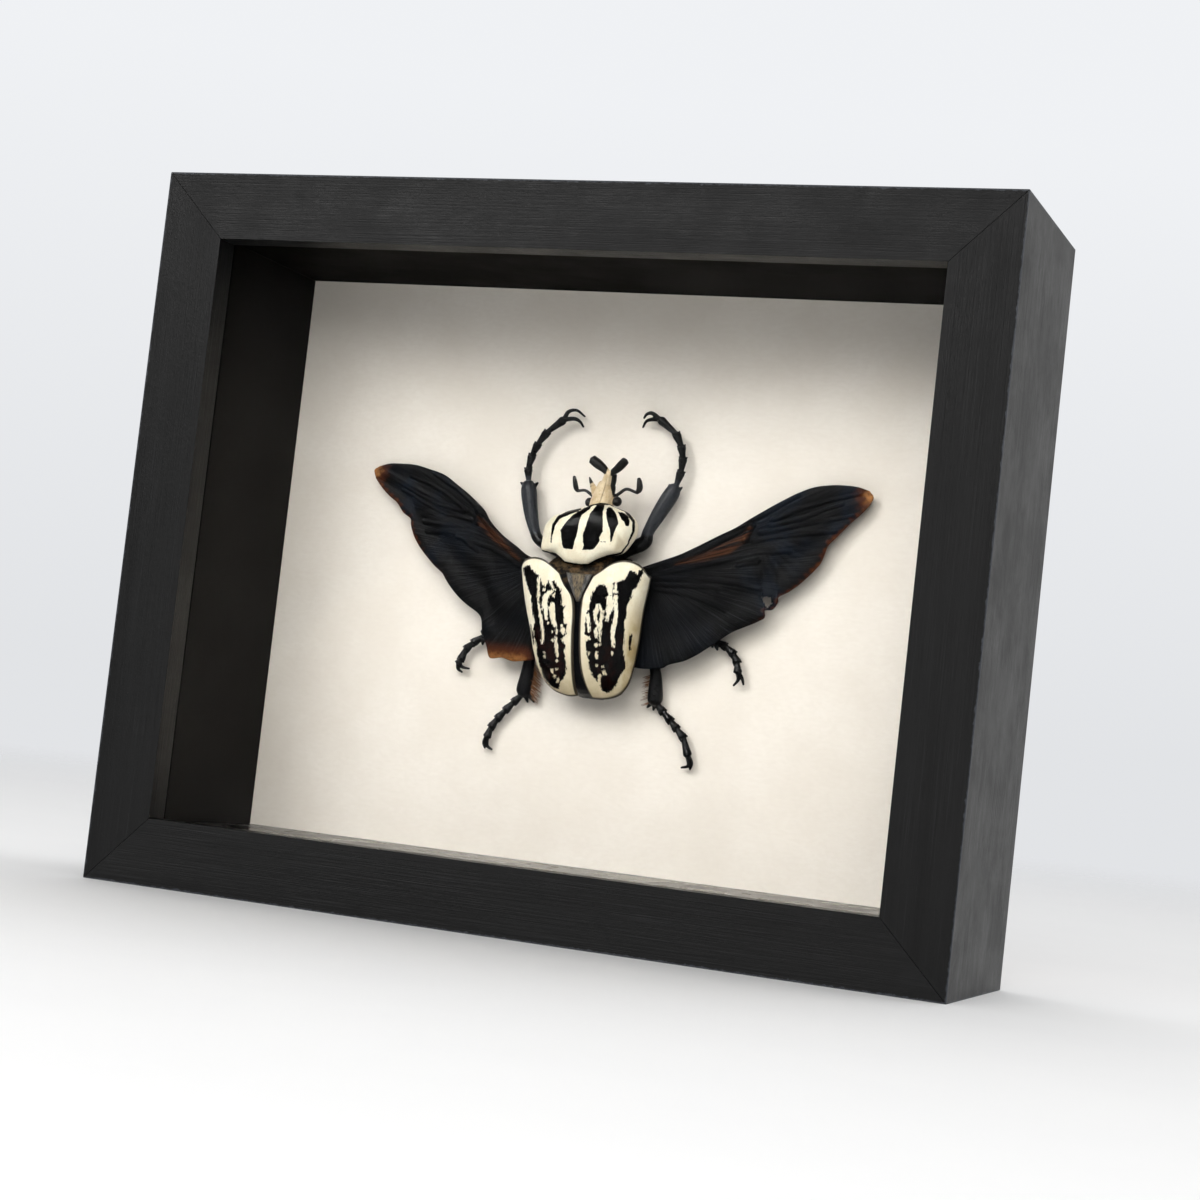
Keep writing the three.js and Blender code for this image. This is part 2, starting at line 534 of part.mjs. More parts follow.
function addBeetle() {
  const beetle = new THREE.Group();
  beetle.position.set(0, PAPER_Y, BEETLE_Z);
  beetle.rotation.x = Math.PI / 2;
  framed.add(beetle);

  const trunk = trunkGeometry();
  const pronotum = pronotumGeometry();
  const trunkRoom = solidOf(grown(trunk));
  const pronotumRoom = solidOf(grown(pronotum));
  const cutPronotum = largestPiece(solidOf(pronotum).subtract(trunkRoom));
  addPiece(beetle, 'body', trunk, DARK_SHELL());
  addPiece(beetle, 'pronotum', geometryOf(cutPronotum), IVORY());
  const head = largestPiece(headSolid().subtract(pronotumRoom));
  addPiece(beetle, 'head', geometryOf(head), material(0xdcc6a0, 0.45));

  const elytronFinish = material(0x2a241d, 0.3);
  for (const [name, { inner, outer, front, rear }] of [
    ['elytron_left', ELYTRON_LEFT], ['elytron_right', ELYTRON_RIGHT]]) {
    const shell = solidOf(elytronGeometry(inner, outer, front, rear));
    addPiece(beetle, name, geometryOf(largestPiece(shell.subtract(pronotumRoom))), elytronFinish.clone());
  }
  const scutellum = solidOf(scutellumGeometry()).subtract(pronotumRoom);
  addPiece(beetle, 'scutellum', geometryOf(largestPiece(scutellum)), material(0x4a3f2c, 0.5));

  for (const [name, wing] of [['hindwing_left', WING_LEFT], ['hindwing_right', WING_RIGHT]]) {
    let membrane = solidOf(wingGeometry(wing)).subtract(trunkRoom).subtract(pronotumRoom);
    if (wing === WING_RIGHT) membrane = membrane.subtract(solidOf(wingHole()));
    addPiece(beetle, name, geometryOf(largestPiece(membrane)), material(0x17181b, 0.4));
  }
  for (const [name, leg] of Object.entries(LEGS)) {
    const limbSolid = legSolid(leg).subtract(trunkRoom).subtract(pronotumRoom);
    addPiece(beetle, name, geometryOf(largestPiece(limbSolid)), material(0x141517, 0.35));
  }
}

addFrame();
addPlates();
addHanger();
addBeetle();

export default framed;
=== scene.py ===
import math

import bpy
import numpy as np
from mathutils import Matrix, Vector


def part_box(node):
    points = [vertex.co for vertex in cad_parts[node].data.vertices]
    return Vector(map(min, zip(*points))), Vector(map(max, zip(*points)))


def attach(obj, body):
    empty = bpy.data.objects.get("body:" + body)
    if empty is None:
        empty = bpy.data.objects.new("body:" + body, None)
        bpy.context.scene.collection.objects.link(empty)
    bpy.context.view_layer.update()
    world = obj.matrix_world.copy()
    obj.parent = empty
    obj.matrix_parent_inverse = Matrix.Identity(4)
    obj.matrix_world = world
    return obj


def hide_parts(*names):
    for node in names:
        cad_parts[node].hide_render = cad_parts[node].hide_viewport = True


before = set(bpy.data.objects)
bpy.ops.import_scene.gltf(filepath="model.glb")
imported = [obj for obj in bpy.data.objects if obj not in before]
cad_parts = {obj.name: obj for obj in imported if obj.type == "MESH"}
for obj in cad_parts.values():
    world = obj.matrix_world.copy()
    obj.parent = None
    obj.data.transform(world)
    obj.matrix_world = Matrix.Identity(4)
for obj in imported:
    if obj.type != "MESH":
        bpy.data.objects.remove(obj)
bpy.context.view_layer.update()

MM = 0.001
RANDOM = np.random.default_rng(7)

# Places on the card are (x across, z up the frame, height above the paper), in mm
PAPER_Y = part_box("backing_card")[0].y
FRAME_LOW, FRAME_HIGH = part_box("rail_left")[0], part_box("rail_right")[1]

# The eye that the photo was taken from
EYE_X, EYE_Z, EYE_HEIGHT = 253.95, 53.6, 646.76
EYE_RIGHT = Vector((0.92669, 0.35869, 0.1122))
EYE_UP = Vector((-0.08259, -0.09687, 0.99186))
EYE_LENS_MM = 71.94
SENSOR_MM = 36


# Curves, patches and distances

def spline(points, closed=False, steps=16):
    """A smooth curve through points, as a dense polyline."""
    points = np.asarray(points, float)
    if closed:
        line = np.vstack([points[-1], points, points[0], points[1]])
    else:
        line = np.vstack([2 * points[0] - points[1], points, 2 * points[-1] - points[-2]])
    t = np.linspace(0, 1, steps, endpoint=False)[:, None]
    pieces = []
    for before, start, end, after in zip(line, line[1:], line[2:], line[3:]):
        a, b, c = [max(np.linalg.norm(step), 1e-6) ** 0.5
                   for step in (start - before, end - start, after - end)]
        leave = ((start - before) / a - (end - before) / (a + b) + (end - start) / b) * b
        arrive = ((end - start) / b - (after - start) / (b + c) + (after - end) / c) * b
        bend = 3 * (end - start) - 2 * leave - arrive
        twist = 2 * (start - end) + leave + arrive
        pieces.append(start + t * (leave + t * (bend + t * twist)))
    if not closed:
        pieces.append(points[-1:])
    return np.vstack(pieces)


def along(curve, shares):
    """Places at shares of a polyline's length."""
    lengths = np.concatenate([[0], np.cumsum(np.linalg.norm(np.diff(curve, axis=0), axis=1))])
    return np.column_stack([np.interp(shares, lengths / lengths[-1], column) for column in curve.T])


def patch(side_a, side_b, start, end, s, t):
    """Places over a four-sided patch: sides run along s, start and end run across with t."""
    a, b = (along(spline(side), s)[:, None] for side in (side_a, side_b))
    first, last = (along(spline(side), t)[None] for side in (start, end))
    s, t = s[:, None, None], t[None, :, None]
    corners = ((1 - s) * ((1 - t) * first[:, :1] + t * first[:, -1:])
               + s * ((1 - t) * last[:, :1] + t * last[:, -1:]))
    return (1 - t) * a + t * b + (1 - s) * first + s * last - corners


def edge_shares(count, crowding=0.6):
    """Shares from 0 to 1 that crowd towards both ends."""
    even = np.linspace(0, 1, count)
    return (1 - crowding) * even + crowding * (0.5 - 0.5 * np.cos(math.pi * even))


def path_distance(points, path):
    """Distance of (x, z) points from a polyline, and the share of the way along its segments."""
    path = np.asarray(path, float)
    if len(path) == 1:
        return np.linalg.norm(points - path[0], axis=1), np.zeros(len(points))
    best = np.full(len(points), np.inf)
    where = np.zeros(len(points))
    for k, (start, end) in enumerate(zip(path, path[1:])):
        run = end - start
        share = np.clip((points - start) @ run / max(run @ run, 1e-9), 0, 1)
        distance = np.linalg.norm(points - start - share[:, None] * run, axis=1)
        closer = distance < best
        best = np.where(closer, distance, best)
        where = np.where(closer, k + share, where)
    return best, where


def polygon_depth(points, corners):
    """How far (x, z) points lie inside a polygon, negative outside."""
    corners = np.asarray(corners, float)
    inside = np.zeros(len(points), bool)
    for (x0, z0), (x1, z1) in zip(corners, np.roll(corners, -1, axis=0)):
        if z0 == z1:
            continue
        crosses = (z0 > points[:, 1]) != (z1 > points[:, 1])
        inside ^= crosses & (points[:, 0] < x0 + (points[:, 1] - z0) * (x1 - x0) / (z1 - z0))
    distance = path_distance(points, np.vstack([corners, corners[:1]]))[0]
    return np.where(inside, distance, -distance)


def stroke_depth(points, stations):
    """How far (x, z) points lie inside a stroke through (x, z, half width) stations."""
    stations = np.asarray(stations, float)
    distance, where = path_distance(points, stations[:, :2])
    return np.interp(where, range(len(stations)), stations[:, 2]) - distance


def smooth_step(value, low, high):
    share = np.clip((value - low) / (high - low), 0, 1)
    return share * share * (3 - 2 * share)


def seen_at(places, height):
    """(x, z) at a reading height of what the eye sees at each place."""
    scale = ((height - places[:, 2]) / (EYE_HEIGHT - places[:, 2]))[:, None]
    return places[:, :2] + (np.array([EYE_X, EYE_Z]) - places[:, :2]) * scale


# Meshes

def on_card(places):
    """Places on the card, in mm, as points of the scene, in metres."""
    places = np.asarray(places, float)
    return np.column_stack([places[:, 0] * MM, PAPER_Y - places[:, 2] * MM, places[:, 1] * MM])


def card_places(mesh):
    """A mesh's points as places on the card."""
    points = np.empty(3 * len(mesh.vertices))
    mesh.vertices.foreach_get("co", points)
    points = points.reshape(-1, 3)
    return np.column_stack([points[:, 0], points[:, 2], PAPER_Y - points[:, 1]]) / MM


def mesh_of(name, places, faces):
    mesh = bpy.data.meshes.new(name)
    mesh.from_pydata(on_card(places).tolist(), [], [list(face) for face in faces])
    mesh.update()
    return mesh


def join(parts):
    """One list of places and one of faces from several (places, faces) parts."""
    places, faces, first = [], [], 0
    for part_places, part_faces in parts:
        places.append(np.asarray(part_places, float))
        faces += [[index + first for index in face] for face in part_faces]
        first += len(part_places)
    return np.vstack(places), faces


def ring_faces(rings, sides):
    """Faces between rings of points that follow each other."""
    faces = []
    for r in range(rings - 1):
        here, there = r * sides, (r + 1) * sides
        for i in range(sides):
            after = (i + 1) % sides
            faces.append((here + i, here + after, there + after, there + i))
    return faces


def add_piece(name, mesh, material, slot, node=None, **values):
    """A smooth piece that rides on the body, with numbers per point that its material reads."""
    for key, numbers in values.items():
        field = mesh.attributes.new(key, "FLOAT", "POINT")
        field.data.foreach_set("value", np.asarray(numbers, np.float32))
    mesh.shade_smooth()
    mesh.materials.append(material)
    piece = bpy.data.objects.new(name, mesh)
    bpy.context.scene.collection.objects.link(piece)
    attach(piece, "root")
    if node:
        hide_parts(node)
    return piece


def sheet(grid, thick, hole=None):
    """A closed thin sheet about a grid of places, rounded at its edges and round a hole."""
    rows, columns = grid.shape[:2]
    normal = np.cross(np.gradient(grid, axis=0), np.gradient(grid, axis=1))
    normal /= np.linalg.norm(normal, axis=2, keepdims=True) + 1e-12
    normal *= np.sign(normal[..., 2].mean())
    from_edge = np.full((rows, columns), np.inf)
    for axis in (0, 1):
        steps = np.linalg.norm(np.diff(grid, axis=axis), axis=2)
        start = np.concatenate([np.zeros_like(steps.take([0], axis)), np.cumsum(steps, axis)], axis)
        from_edge = np.minimum(from_edge, np.minimum(start, start.take([-1], axis) - start))
    if hole is not None:
        from_hole = -polygon_depth(grid[..., :2].reshape(-1, 2), hole).reshape(rows, columns)
        from_edge = np.minimum(from_edge, from_hole)
    round_off = 1 - np.clip(from_edge / (thick / 2), 0, 1)
    half = (thick / 2 * np.sqrt(1 - round_off ** 2))[..., None]
    over = (grid + normal * half).reshape(-1, 3)
    under = (grid - normal * half).reshape(-1, 3)
    top = np.arange(rows * columns).reshape(rows, columns)
    bottom = top.copy()
    bottom[1:-1, 1:-1] += rows * columns
    faces = []
    for r in range(rows - 1):
        for c in range(columns - 1):
            if hole is not None and from_edge[r:r + 2, c:c + 2].max() <= 0:
                continue
            faces.append((top[r, c], top[r + 1, c], top[r + 1, c + 1], top[r, c + 1]))
            faces.append((bottom[r, c], bottom[r, c + 1], bottom[r + 1, c + 1], bottom[r + 1, c]))
    places = np.vstack([over, under])
    used = np.unique(np.array(faces))
    number = np.zeros(len(places), int)
    number[used] = np.arange(len(used))
    distances = np.tile(from_edge.ravel(), 2)
    return places[used], number[np.array(faces)], distances[used]


def tube(stations, sides=14, flatten=1.0, steps=6):
    """A limb through (x, z, height, half width) stations, with both ends closed."""
    line = spline(stations, steps=steps)
    middle, half = line[:, :3], np.maximum(line[:, 3], 0.05)
    run = np.gradient(middle, axis=0)
    run /= np.linalg.norm(run, axis=1, keepdims=True)
    side = np.column_stack([run[:, 1], -run[:, 0], np.zeros(len(run))])
    side /= np.linalg.norm(side, axis=1, keepdims=True) + 1e-9
    up = np.cross(side, run)
    angle = 2 * math.pi * np.arange(sides) / sides
    rings = (middle[:, None] + half[:, None, None] * (side[:, None] * np.sin(angle)[None, :, None]
             + flatten * up[:, None] * np.cos(angle)[None, :, None]))
    places = np.vstack([rings.reshape(-1, 3), middle[0] - run[0] * half[0] * 0.5,
                        middle[-1] + run[-1] * half[-1] * 0.5])
    count = len(middle)
    faces = []
    for i in range(sides):
        after = (i + 1) % sides
        faces.append((count * sides, after, i))
        faces.append((count * sides + 1, (count - 1) * sides + i, (count - 1) * sides + after))
        faces += [(r * sides + i, r * sides + after, (r + 1) * sides + after, (r + 1) * sides + i)
                  for r in range(count - 1)]
    return places, faces


def ball(x, z, height, radius):
    stations = [(x, z + radius * math.sin(a), height, radius * math.cos(a))
                for a in np.linspace(-1.45, 1.45, 9)]
    return tube(stations, steps=2)


def fused(name, parts, voxel, passes):
    """One closed skin over overlapping parts."""
    draft = bpy.data.objects.new(name + "_draft", mesh_of(name + "_draft", *join(parts)))
    bpy.context.scene.collection.objects.link(draft)
    skin = draft.modifiers.new("skin", "REMESH")
    skin.mode = "VOXEL"
    skin.voxel_size = voxel * MM
    relax = draft.modifiers.new("relax", "SMOOTH")
    relax.factor = 0.5
    relax.iterations = passes
    mesh = bpy.data.meshes.new_from_object(draft.evaluated_get(bpy.context.evaluated_depsgraph_get()))
    mesh.name = name
    bpy.data.objects.remove(draft)
    return mesh


def strands(roots, tips, sag, thick):
    """Thin tapered hairs from roots to tips, bent by sag in the middle."""
    parts = []
    for root, tip, bend in zip(roots, tips, sag):
        middle = (root + tip) / 2 + bend
        stations = [(*root, thick), (*middle, thick * 0.8), (*tip, thick * 0.2)]
        parts.append(tube(stations, sides=4, steps=3))
    return join(parts)


# Materials

class Look:
    """A procedural material, with short ways to add its nodes."""

    def __init__(self, name):
        self.material = bpy.data.materials.new(name)
        self.material.use_nodes = True
        self.nodes = self.material.node_tree.nodes
        self.links = self.material.node_tree.links
        self.shader = self.nodes["Principled BSDF"]
        self.place = self.nodes.new("ShaderNodeTexCoord").outputs["Object"]

    def put(self, socket, value):
        if isinstance(value, bpy.types.NodeSocket):
            self.links.new(value, socket)
        else:
            socket.default_value = (*value, 1) if isinstance(value, tuple) and len(value) == 3 else value

    def noise(self, per_mm, detail=4.0, roughness=0.55, place=None):
        """Noise with the given number of waves per mm along x, y and z."""
        mapping = self.nodes.new("ShaderNodeMapping")
        self.links.new(place or self.place, mapping.inputs["Vector"])
        mapping.inputs["Scale"].default_value = [waves / MM for waves in per_mm]
        node = self.nodes.new("ShaderNodeTexNoise")
        self.links.new(mapping.outputs["Vector"], node.inputs["Vector"])
        node.inputs["Scale"].default_value = 1
        node.inputs["Detail"].default_value = detail
        node.inputs["Roughness"].default_value = roughness
        return node.outputs["Fac"]

    def value(self, name):
        node = self.nodes.new("ShaderNodeAttribute")
        node.attribute_name = name
        return node.outputs["Fac"]

    def roughened(self, name, noise, amount):
        """A number that comes with the mesh, pushed up and down by noise."""
        push = self.math("MULTIPLY", self.math("SUBTRACT", noise, 0.5), amount)
        return self.math("ADD", self.value(name), push)

    def axis(self, name):
        node = self.nodes.new("ShaderNodeSeparateXYZ")
        self.links.new(self.place, node.inputs[0])
        return node.outputs[name]

    def pair(self, a, b):
        node = self.nodes.new("ShaderNodeCombineXYZ")
        self.links.new(a, node.inputs["X"])
        self.links.new(b, node.inputs["Y"])
        return node.outputs[0]

    def math(self, operation, a, b=0.0):
        node = self.nodes.new("ShaderNodeMath")
        node.operation = operation
        self.put(node.inputs[0], a)
        self.put(node.inputs[1], b)
        return node.outputs[0]

    def range(self, value, low, high, at_low=0.0, at_high=1.0):
        node = self.nodes.new("ShaderNodeMapRange")
        node.interpolation_type = "SMOOTHSTEP"
        self.put(node.inputs["Value"], value)
        for key, number in (("From Min", low), ("From Max", high), ("To Min", at_low), ("To Max", at_high)):
            node.inputs[key].default_value = number
        return node.outputs["Result"]

    def mix(self, share, a, b):
        node = self.nodes.new("ShaderNodeMix")
        node.data_type = "RGBA"
        self.put(node.inputs["Factor"], share)
        self.put(node.inputs[6], a)
        self.put(node.inputs[7], b)
        return node.outputs[2]

    def bump(self, height, depth_mm, strength=1.0, under=None):
        node = self.nodes.new("ShaderNodeBump")
        node.inputs["Strength"].default_value = strength
        node.inputs["Distance"].default_value = depth_mm * MM
        self.links.new(height, node.inputs["Height"])
        if under:
            self.links.new(under, node.inputs["Normal"])
        return node.outputs["Normal"]

    def finish(self, **inputs):
        for key, value in inputs.items():
            self.put(self.shader.inputs[key.replace("_", " ")], value)
        return self.material


def black_wood(name, lengthwise):
    """Satin black stain over open grain that runs along x or z, worn pale at the outer edges."""
    look = Look(name)
    fine, broad = ((0.03, 2.2, 2.2), (0.006, 0.12, 0.12)) if lengthwise == "x" else (
        (2.2, 2.2, 0.03), (0.12, 0.12, 0.006))
    grain = look.noise(fine, detail=6, roughness=0.65)
    bands = look.noise(broad, detail=3)
    stain = look.mix(look.range(bands, 0.3, 0.7), (0.0018, 0.0019, 0.0021), (0.0048, 0.005, 0.0053))
    stain = look.mix(look.range(grain, 0.52, 0.78, 0, 0.5), stain, (0.024, 0.025, 0.027))
    low, high = FRAME_LOW, FRAME_HIGH
    gaps = []
    for key, a, b in (("X", low.x, high.x), ("Y", low.y, high.y), ("Z", low.z, high.z)):
        offset = look.math("ABSOLUTE", look.math("SUBTRACT", look.axis(key), (a + b) / 2))
        gaps.append(look.math("SUBTRACT", (b - a) / 2, offset))
    first, second, third = gaps
    nearer, farther = look.math("MINIMUM", first, second), look.math("MAXIMUM", first, second)
    corner = look.math("MAXIMUM", nearer, look.math("MINIMUM", farther, third))
    chips = look.noise((0.5, 0.5, 0.5), detail=6, roughness=0.75)
    reach = look.math("SUBTRACT", corner, look.range(chips, 0.4, 0.75, 0, 0.6 * MM))
    worn = look.range(reach, 0.05 * MM, 0.3 * MM, 0.34, 0)
    colour = look.mix(worn, stain, (0.13, 0.145, 0.175))
    dents = look.range(look.noise((0.07, 0.07, 0.05), detail=2), 0.62, 0.75)
    specks = look.noise((0.9, 0.9, 0.9), detail=6, roughness=0.75)
    blotches = look.noise((0.06, 0.06, 0.06), detail=5, roughness=0.65)
    pores = look.math("ADD", look.math("MULTIPLY", grain, 1.3), look.math("MULTIPLY", specks, 0.7))
    relief = look.math("SUBTRACT", pores, dents)
    rub = look.math("ADD", look.range(blotches, 0.3, 0.7, 0.39, 0.5),
                    look.range(grain, 0.3, 0.7, -0.05, 0.08))
    return look.finish(Base_Color=colour, Roughness=rub, Specular_IOR_Level=0.26,
                       Normal=look.bump(relief, 0.16, 0.7))


def black_liner(name, gloss, specular):
    """Black paint, faintly mottled."""
    look = Look(name)
    mottle = look.noise((0.05, 0.05, 0.05), detail=5, roughness=0.6)
    colour = look.mix(mottle, (0.0015, 0.0013, 0.0011), (0.005, 0.0042, 0.0034))
    return look.finish(Base_Color=colour, Roughness=look.range(mottle, 0.3, 0.7, gloss, gloss + 0.12),
                       Specular_IOR_Level=specular, Normal=look.bump(look.noise((0.8, 0.8, 0.8)), 0.03))


def clear_glass():
    """A low-glare pane that lets light through to what it covers."""
    look = Look("clear_glass")
    smear = look.noise((0.012, 0.012, 0.012), detail=3)
    look.finish(Base_Color=look.mix(smear, (0.985, 0.99, 0.985), (0.995, 1, 0.997)), Roughness=0.0,
                Transmission_Weight=1.0, IOR=1.08)
    path = look.nodes.new("ShaderNodeLightPath")
    clear = look.nodes.new("ShaderNodeBsdfTransparent")
    blend = look.nodes.new("ShaderNodeMixShader")
    look.links.new(path.outputs["Is Shadow Ray"], blend.inputs[0])
    look.links.new(look.shader.outputs[0], blend.inputs[1])
    look.links.new(clear.outputs[0], blend.inputs[2])
    look.links.new(blend.outputs[0], look.nodes["Material Output"].inputs["Surface"])
    return look.material


def cream_paper():
    look = Look("cream_paper")
    clouds = look.noise((0.035, 0.035, 0.035), detail=4)
    fibre = look.noise((0.5, 0.5, 1.1), detail=5, roughness=0.65)
    colour = look.mix(look.range(clouds, 0.3, 0.7), (0.815, 0.755, 0.675), (0.875, 0.82, 0.745))
    colour = look.mix(look.range(fibre, 0.35, 0.65, 0, 0.22), colour, (0.74, 0.675, 0.585))
    return look.finish(Base_Color=colour, Roughness=0.9, Specular_IOR_Level=0.15,
                       Normal=look.bump(fibre, 0.05, 0.5))


def hardboard():
    look = Look("hardboard")
    fibre = look.noise((0.35, 0.35, 0.35), detail=7, roughness=0.75)
    colour = look.mix(fibre, (0.13, 0.07, 0.035), (0.32, 0.19, 0.105))
    return look.finish(Base_Color=colour, Roughness=0.75, Normal=look.bump(fibre, 0.08))


def zinc():
    look = Look("zinc")
    brushed = look.noise((0.15, 2.5, 2.5), detail=5)
    return look.finish(Base_Color=look.mix(brushed, (0.42, 0.43, 0.44), (0.66, 0.67, 0.68)), Metallic=1.0,
                       Roughness=look.range(brushed, 0.3, 0.7, 0.28, 0.45),
                       Normal=look.bump(brushed, 0.02))


def striped_chitin(name, streak, raggedness):
    """Ivory scales with ragged glossy black marks; ink, stain and rim come with the mesh."""
    look = Look(name)
    ragged = look.noise(streak, detail=5, roughness=0.7)
    ink = look.roughened("ink", ragged, raggedness)
    black_share = look.range(ink, -0.07, 0.07)
    clouds = look.noise((0.35, 0.35, 0.3), detail=4)
    flecks = look.noise((2.4, 2.4, 1.6), detail=3, roughness=0.7)
    ivory = look.mix(look.range(clouds, 0.35, 0.7), (0.79, 0.715, 0.54), (0.87, 0.82, 0.665))
    ivory = look.mix(look.range(flecks, 0.5, 0.75, 0, 0.5), ivory, (0.66, 0.57, 0.38))
    aged = look.math("MULTIPLY", look.value("stain"), look.range(clouds, 0.25, 0.65, 0.55, 1.0))
    ivory = look.mix(aged, ivory, (0.42, 0.32, 0.16))
    warm = look.math("MULTIPLY", look.value("warm"), look.range(clouds, 0.45, 0.65))
    black = look.mix(warm, (0.0022, 0.0021, 0.0022), (0.009, 0.0022, 0.0016))
    colour = look.mix(black_share, ivory, black)
    colour = look.mix(look.range(look.value("rim"), 0.5, 0.95, 0.95, 0), colour, (0.016, 0.010, 0.006))
    roughness = look.range(black_share, 0, 1, 0.42, 0.22)
    grain = look.noise((1.6, 1.6, 1.6), detail=4, roughness=0.6)
    dull = look.bump(flecks, 0.05, 0.5)
    scales = look.math("MULTIPLY", black_share, -1)
    normal = look.bump(look.math("ADD", scales, look.math("MULTIPLY", grain, 0.35)), 0.06, 0.8, dull)
    return look.finish(Base_Color=colour, Roughness=roughness, Specular_IOR_Level=0.07, Normal=normal)


def head_chitin():
    """Beige with black limbs; ink and stain come with the mesh."""
    look = Look("beige_chitin")
    clouds = look.noise((0.5, 0.5, 0.5), detail=5, roughness=0.65)
    ink = look.roughened("ink", clouds, 0.6)
    beige = look.mix(look.range(clouds, 0.3, 0.7), (0.52, 0.38, 0.21), (0.76, 0.63, 0.43))
    beige = look.mix(look.value("stain"), beige, (0.10, 0.055, 0.025))
    colour = look.mix(look.range(ink, -0.12, 0.12), beige, (0.006, 0.0055, 0.005))
    pits = look.noise((1.5, 1.5, 1.5), detail=4)
    return look.finish(Base_Color=colour, Roughness=look.range(pits, 0.3, 0.7, 0.3, 0.5),
                       Specular_IOR_Level=0.25, Normal=look.bump(pits, 0.07))


def dark_chitin():
    """Blue-black abdomen that turns to brown pubescence where hairy is high."""
    look = Look("dark_chitin")
    down = look.noise((1.2, 1.2, 0.6), detail=6, roughness=0.75)
    smooth = look.mix(down, (0.0035, 0.004, 0.0055), (0.011, 0.012, 0.015))
    tufts = look.noise((0.3, 0.3, 0.45), detail=5, roughness=0.7)
    hairy = look.mix(look.range(tufts, 0.42, 0.66), (0.0012, 0.001, 0.0008), (0.12, 0.072, 0.03))
    colour = look.mix(look.value("hairy"), smooth, hairy)
    return look.finish(Base_Color=colour, Roughness=look.range(look.value("hairy"), 0, 1, 0.28, 0.7),
                       Specular_IOR_Level=0.15, Normal=look.bump(down, 0.12, 0.6))


def plate_chitin():
    """The small triangle: olive-brown in the middle, grey down at the sides."""
    look = Look("plate_chitin")
    down = look.noise((1.5, 1.5, 0.5), detail=6, roughness=0.7)
    middle = look.mix(look.range(down, 0.35, 0.65), (0.018, 0.012, 0.005), (0.15, 0.11, 0.055))
    sides = look.mix(look.range(down, 0.35, 0.65), (0.006, 0.0056, 0.005), (0.12, 0.112, 0.1))
    colour = look.mix(look.value("flank"), middle, sides)
    return look.finish(Base_Color=colour, Roughness=0.6, Normal=look.bump(down, 0.15))


def leg_chitin():
    """Black and glossy, slate on the shins."""
    look = Look("leg_chitin")
    pits = look.noise((0.9, 0.9, 0.9), detail=5, roughness=0.65)
    specks = look.range(look.noise((1.4, 1.4, 1.4), detail=2), 0.7, 0.76, 0, 0.5)
    black = look.mix(pits, (0.0015, 0.0015, 0.0017), (0.006, 0.006, 0.0065))
    slate = look.mix(pits, (0.012, 0.0135, 0.0165), (0.032, 0.035, 0.041))
    slate = look.mix(specks, slate, (0.16, 0.17, 0.19))
    colour = look.mix(look.value("shin"), black, slate)
    return look.finish(Base_Color=colour, Roughness=look.range(pits, 0.3, 0.7, 0.26, 0.42),
                       Specular_IOR_Level=0.16, Normal=look.bump(pits, 0.08))


def wing_membrane():
    """Near-black folded membrane: painted grey sheen lines and painted blue sheen on the folds, amber at
    thin edges, copper in the cell streaked with painted glints.
    """
    look = Look("wing_membrane")
    crinkle = look.noise((0.9, 0.9, 0.9), detail=6, roughness=0.7)
    broad = look.noise((0.09, 0.09, 0.09), detail=3)
    along_fan = look.pair(look.value("fan"), look.value("reach"))
    rays = look.noise((1.1, 0.05, 1), detail=5, roughness=0.65, place=along_fan)
    # Painted sheen: the near-black membrane lightens to grey in lines along the fan of folds.
    dark = look.mix(look.range(rays, 0.45, 0.7), (0.0014, 0.0015, 0.0017), (0.0085, 0.0092, 0.0098))
    dark = look.mix(look.range(rays, 0.58, 0.74, 0, 0.6), dark, (0.03, 0.031, 0.034))
    # Painted blue sheen, in broad patches that grow stronger away from the hinge.
    sheen = look.math("MULTIPLY", look.range(broad, 0.44, 0.62, 0, 0.6),
                      look.range(look.value("reach"), 18 * MM, 48 * MM, 0.2, 1))
    dark = look.mix(sheen, dark, (0.004, 0.008, 0.0155))
    # The cell's own reddish copper brown, streaked along the folds with painted glints.
    copper_with_glints = look.math("MULTIPLY", look.value("copper"), look.range(rays, 0.4, 0.6))
    colour = look.mix(copper_with_glints, dark, (0.09, 0.031, 0.012))
    thin = look.math("MULTIPLY", look.value("amber"), look.range(crinkle, 0.25, 0.6, 0.75, 1))
    colour = look.mix(look.range(thin, 0.05, 0.6), colour, (0.055, 0.014, 0.005))
    colour = look.mix(look.range(thin, 0.5, 1.0), colour, (0.34, 0.15, 0.045))
    folds = look.bump(rays, 0.35, 0.9, look.bump(crinkle, 0.1, 0.7))
    return look.finish(Base_Color=colour, Roughness=look.range(crinkle, 0.3, 0.7, 0.32, 0.5),
                       Specular_IOR_Level=0.06, Normal=folds)


def fringe_hair():
    look = Look("fringe_hair")
    along_hair = look.noise((0.8, 0.8, 0.8), detail=3)
    colour = look.mix(along_hair, (0.09, 0.028, 0.010), (0.33, 0.15, 0.055))
    return look.finish(Base_Color=colour, Roughness=0.5)


# Wing cases

